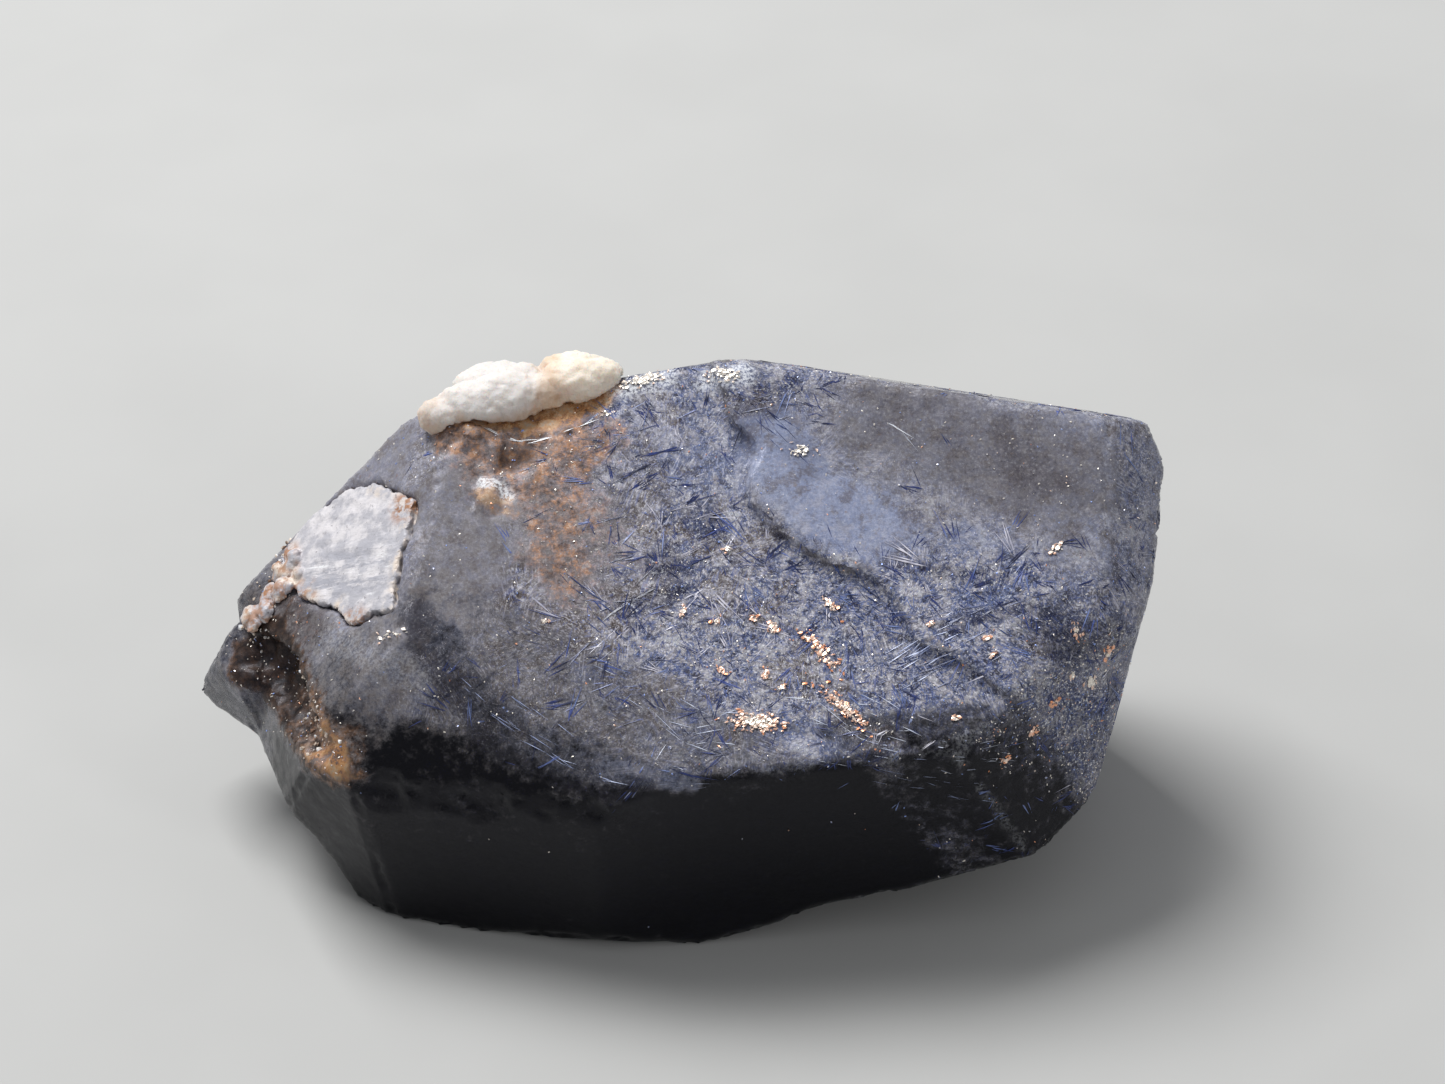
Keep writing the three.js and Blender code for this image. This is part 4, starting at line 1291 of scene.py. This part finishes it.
class CRYSTAL_OT_glints(bpy.types.Operator):
    """Places the copper-coloured and white scales that glint in the quartz"""

    bl_idname = "crystal.glints"
    bl_label = "Place the glints"

    def execute(self, context):
        settings = context.scene.crystal_glints
        draw = random.Random(settings.seed)
        bm = bmesh.new()
        bm.verts.layers.float.new("tone")
        body = bpy.data.objects["clouded_quartz"]
        for face_name, place, length, width, turn, count, tone in GLINTS:
            face = Face(face_name)
            lit_from = SPARKLE_FROM if face_name == "right_front" else KEY_FROM
            bright = Vector(direction(*VIEW_FROM) + direction(*lit_from)).normalized()
            turn = math.radians(turn)
            for _ in range(CROWDING * count):
                along = draw.gauss(0, 0.3) * length
                aside = draw.gauss(0, 0.3) * width
                rim = math.hypot(along / length, aside / width)
                right = place[0] + along * math.cos(turn) - aside * math.sin(turn)
                up = place[1] + along * math.sin(turn) + aside * math.cos(turn)
                middle = on_surface(body, face, right, up)
                size = draw.uniform(settings.smallest, settings.largest) / MM
                facing = jittered(bright, 0.12, draw)
                streak = Vector(face.right) * math.cos(turn) + Vector(face.up) * math.sin(turn)
                along = jittered(streak, 0.5, draw)
                wide = size * draw.uniform(0.3, 0.8)
                add_scale(bm, middle, facing, along, size, wide, tone + 0.6 - 1.1 * rim, draw)
        finish_piece("glint_scales", mesh_of("glints", bm), glint_finish(settings), sharp=20)
        return {"FINISHED"}


# The white plate.

PLATE_RIM = [(-5.9, -2.7), (-4.2, -1.9), (-2.7, -3.1), (-1.4, -3.9), (-2.1, -5.0), (-3.2, -5.4)]
PLATE_STREAKS = [(-4.7, -5.4), (-3.3, -3.9)]
RUSTY_CORNERS = [(-4.2, -2.2), (-2.2, -5.2), (-6.4, -6.2), (-6.0, -7.3)]
PLATE_SUNK = 0.08


def streak_axes():
    """The way that the plate's streaks run on its face, the way across them, and the way out."""
    face = Face("upper_left")
    way = face.place(*PLATE_STREAKS[1]) - face.place(*PLATE_STREAKS[0])
    way.normalize()
    out = Vector(face.out)
    return way, out.cross(way), out


def plate_finish(settings):
    """Pearly white with slanting silver streaks, dark specks, cream edges and rust corners."""
    look = Finish("pearly_plate")
    measured = look.measured(*streak_axes())
    streaks = look.noise(1, 6, 0.75, look.scaled(measured, (0.5, 3, 3)))
    mottle = look.noise(0.6, 4, 0.65)
    specks = look.span(look.noise(0.11, 2), 0.66, 0.72)
    colour = look.mix(look.span(mottle, 0.4, 0.62, 0.25, 1), settings.grey_colour, settings.white_colour)
    streaky = look.times(look.attribute("streaks"), look.span(streaks, 0.52, 0.42))
    colour = look.mix(streaky, colour, settings.grey_colour)
    shiny = look.times(look.attribute("streaks"), look.span(streaks, 0.56, 0.66))
    colour = look.mix(shiny, colour, settings.shine_colour)
    rim = look.attribute("rim")
    colour = look.mix(look.times(rim, look.span(mottle, 0.42, 0.62, 0, 0.7)), colour, settings.cream_colour)
    rusty = look.times(look.attribute("rust"), look.span(look.noise(0.25, 3, 0.7), 0.4, 0.6))
    colour = look.mix(rusty, colour, settings.rust_colour)
    colour = look.mix(look.times(specks, 0.6), colour, settings.speck_colour)
    height = look.plus(streaks, look.times(look.noise(0.06, 3, 0.6), 0.5))
    return look.surface(
        Base_Color=colour,
        Roughness=look.span(streaks, 0.35, 0.65, 0.5, 0.3),
        Normal=look.bump(height, 0.03),
        Coat_Weight=0.15,
        Coat_Roughness=0.25,
    )


class CRYSTAL_OT_plate(bpy.types.Operator):
    """Makes the white plate with its streaks and ragged margin"""

    bl_idname = "crystal.plate"
    bl_label = "Finish the plate"

    def execute(self, context):
        settings = context.scene.crystal_plate
        mesh, _ = fine_mesh("white_plate", settings.grain / MM)
        points, normals = mesh_places(mesh)
        face = Face("upper_left")
        local = face.local(points)
        rim = eased(0.42, 0.05, distance_to_line(local[:, :2], PLATE_RIM) + 0.25 * uneven(points, 0.4, 2))
        left = eased(-5.6, -6.3, local[:, 1] + 0.35 * uneven(points, 0.5, 5))
        nearest = np.min([np.linalg.norm(local[:, :2] - at, axis=1) for at in RUSTY_CORNERS], axis=0)
        rust = eased(0.75, 0.2, nearest)
        store(mesh, "rim", np.maximum(rim, left))
        store(mesh, "rust", np.maximum(rust, 0.8 * left))
        measured = points @ np.array(streak_axes()).T
        streaks = uneven(measured * (0.35, 2.6, 2.6), 1, 3)
        middle = eased(1.3, 0.3, distance_to_line(local[:, :2], PLATE_STREAKS))
        rough = streaks * (0.1 + 0.35 * middle) + 0.6 * uneven(points, 0.3, 4, 5)
        height = rough * settings.relief / MM - PLATE_SUNK
        height = height * eased(-0.25, 0.0, local[:, 2])
        flat = normals - (normals @ face.out)[:, None] * face.out
        points = points + flat * (0.05 + 0.09 * uneven(points, 0.25, 8))[:, None] + height[:, None] * face.out
        mesh.vertices.foreach_set("co", points.ravel())
        store(mesh, "streaks", middle)
        finish_piece("pearly_plate", mesh, plate_finish(settings), "white_plate", sharp=26)
        return {"FINISHED"}


# The knobs.


def crust_finish(settings):
    """Matt crust, grey-white on the left and cream on the right, tan in the hollows."""
    look = Finish("knob_crust")
    side = look.attribute("right_side")
    mottle = look.noise(0.35, 4, 0.65)
    fine = look.noise(0.07, 3, 0.6)
    colour = look.mix(side, settings.white_colour, settings.cream_colour)
    colour = look.mix(look.span(fine, 0.55, 0.7, 0, 0.35), colour, settings.fleck_colour)
    stained = look.times(look.attribute("hollow"), look.span(mottle, 0.3, 0.6, 0.5, 1))
    colour = look.mix(stained, colour, settings.tan_colour)
    height = look.plus(look.times(mottle, 0.6), fine)
    return look.surface(
        Base_Color=colour,
        Roughness=look.span(mottle, 0.3, 0.7, 0.45, 0.7),
        Subsurface_Weight=0.5,
        Subsurface_Radius=(1, 0.75, 0.55),
        Subsurface_Scale=0.0005,
        Normal=look.bump(height, 0.02),
    )


class CRYSTAL_OT_knobs(bpy.types.Operator):
    """Makes the knobs of white crust on the top edge"""

    bl_idname = "crystal.knobs"
    bl_label = "Finish the knobs"

    def execute(self, context):
        settings = context.scene.crystal_crust
        mesh, _ = fine_mesh("white_knobs", settings.grain / MM)
        points, normals = mesh_places(mesh)
        local = Face("main").local(points)
        wobble = uneven(points, 0.5, 3)
        low = eased(0.1, -0.35, local[:, 2] + 0.15 * wobble) * eased(6.6, 5.9, local[:, 1] + 0.2 * wobble)
        between = eased(0.55, 0.15, np.abs(local[:, 0] + 3.75 + 0.25 * wobble))
        store(mesh, "hollow", np.clip(0.6 * low + 0.5 * between, 0, 1))
        store(mesh, "right_side", eased(-4.2, -3.6, local[:, 0]))
        height = (0.8 * uneven(points, 0.4, 5) + 0.5 * uneven(points, 0.12, 6)) * settings.relief / MM + 0.05
        mesh.vertices.foreach_set("co", (points + normals * height[:, None]).ravel())
        finish_piece("knob_crust", mesh, crust_finish(settings), "white_knobs", sharp=60)
        return {"FINISHED"}


# The stage.


def aim(thing, from_way, distance):
    """Stands a light or camera that far from what the camera looks at, facing it."""
    way = Vector(direction(*from_way))
    thing.location = (CAMERA_TARGET + way * distance) * MM
    thing.rotation_euler = (-way).to_track_quat("-Z", "Y").to_euler()
    bpy.context.scene.collection.objects.link(thing)


class CRYSTAL_OT_stage(bpy.types.Operator):
    """Lays the pale floor and sets the lights and the camera"""

    bl_idname = "crystal.stage"
    bl_label = "Set the stage"

    def execute(self, context):
        settings = context.scene.crystal_stage
        half = settings.floor_width / 2
        mesh = bpy.data.meshes.new("floor")
        corners = [(-half, -half, 0), (half, -half, 0), (half, half, 0), (-half, half, 0)]
        mesh.from_pydata(corners, [], [(0, 1, 2, 3)])
        look = Finish("pale_floor")
        tone = look.span(look.noise(9, 3), 0.3, 0.7, 0, 1)
        paler = [channel * 1.04 for channel in settings.floor_colour]
        colour = look.mix(tone, settings.floor_colour, paler)
        mesh.materials.append(look.surface(Base_Color=colour, Roughness=0.85))
        floor = bpy.data.objects.new("floor", mesh)
        context.scene.collection.objects.link(floor)

        for name, power, width, from_way in (
            ("key_light", settings.key_power, settings.key_width, KEY_FROM),
            ("sparkle_light", settings.sparkle_power, settings.sparkle_width, SPARKLE_FROM),
        ):
            lamp = bpy.data.lights.new(name, "AREA")
            lamp.energy = power
            lamp.size = width
            aim(bpy.data.objects.new(name, lamp), from_way, LIGHT_DISTANCE)

        world = bpy.data.worlds.new("sky")
        world.use_nodes = True
        background = world.node_tree.nodes["Background"]
        background.inputs["Color"].default_value = rgba(settings.sky_colour)
        background.inputs["Strength"].default_value = settings.sky_strength
        context.scene.world = world

        camera = bpy.data.cameras.new("camera")
        camera.lens = CAMERA_LENS
        camera.clip_start = 0.001
        camera.clip_end = 10
        holder = bpy.data.objects.new("camera", camera)
        aim(holder, VIEW_FROM, CAMERA_DISTANCE)
        context.scene.camera = holder
        context.scene.view_settings.view_transform = "Standard"
        return {"FINISHED"}


OPERATORS = (
    CRYSTAL_OT_stage,
    CRYSTAL_OT_quartz,
    CRYSTAL_OT_fibres,
    CRYSTAL_OT_threads,
    CRYSTAL_OT_crumbs,
    CRYSTAL_OT_sparkles,
    CRYSTAL_OT_glints,
    CRYSTAL_OT_plate,
    CRYSTAL_OT_knobs,
)


class CRYSTAL_PT_panel(bpy.types.Panel):
    """Lists the crystal's steps and their settings"""

    bl_idname = "CRYSTAL_PT_panel"
    bl_label = "Dumortierite quartz"
    bl_space_type = "VIEW_3D"
    bl_region_type = "UI"
    bl_category = "Crystal"

    def draw(self, context):
        for operator in OPERATORS:
            self.layout.operator(operator.bl_idname)
        for name, group in SETTINGS.items():
            box = self.layout.box()
            for key in group.__annotations__:
                box.prop(getattr(context.scene, name), key)


def register():
    for group in (*SETTINGS.values(), *OPERATORS, CRYSTAL_PT_panel):
        bpy.utils.register_class(group)
    for name, group in SETTINGS.items():
        setattr(bpy.types.Scene, name, PointerProperty(type=group))


def unregister():
    for name in SETTINGS:
        delattr(bpy.types.Scene, name)
    for group in (CRYSTAL_PT_panel, *reversed(OPERATORS), *reversed(list(SETTINGS.values()))):
        bpy.utils.unregister_class(group)


def main():
    register()
    bpy.ops.crystal.stage()
    bpy.ops.crystal.quartz()
    bpy.ops.crystal.fibres()
    bpy.ops.crystal.threads()
    bpy.ops.crystal.crumbs()
    bpy.ops.crystal.sparkles()
    bpy.ops.crystal.glints()
    bpy.ops.crystal.plate()
    bpy.ops.crystal.knobs()
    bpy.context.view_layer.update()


if __name__ == "__main__":
    main()
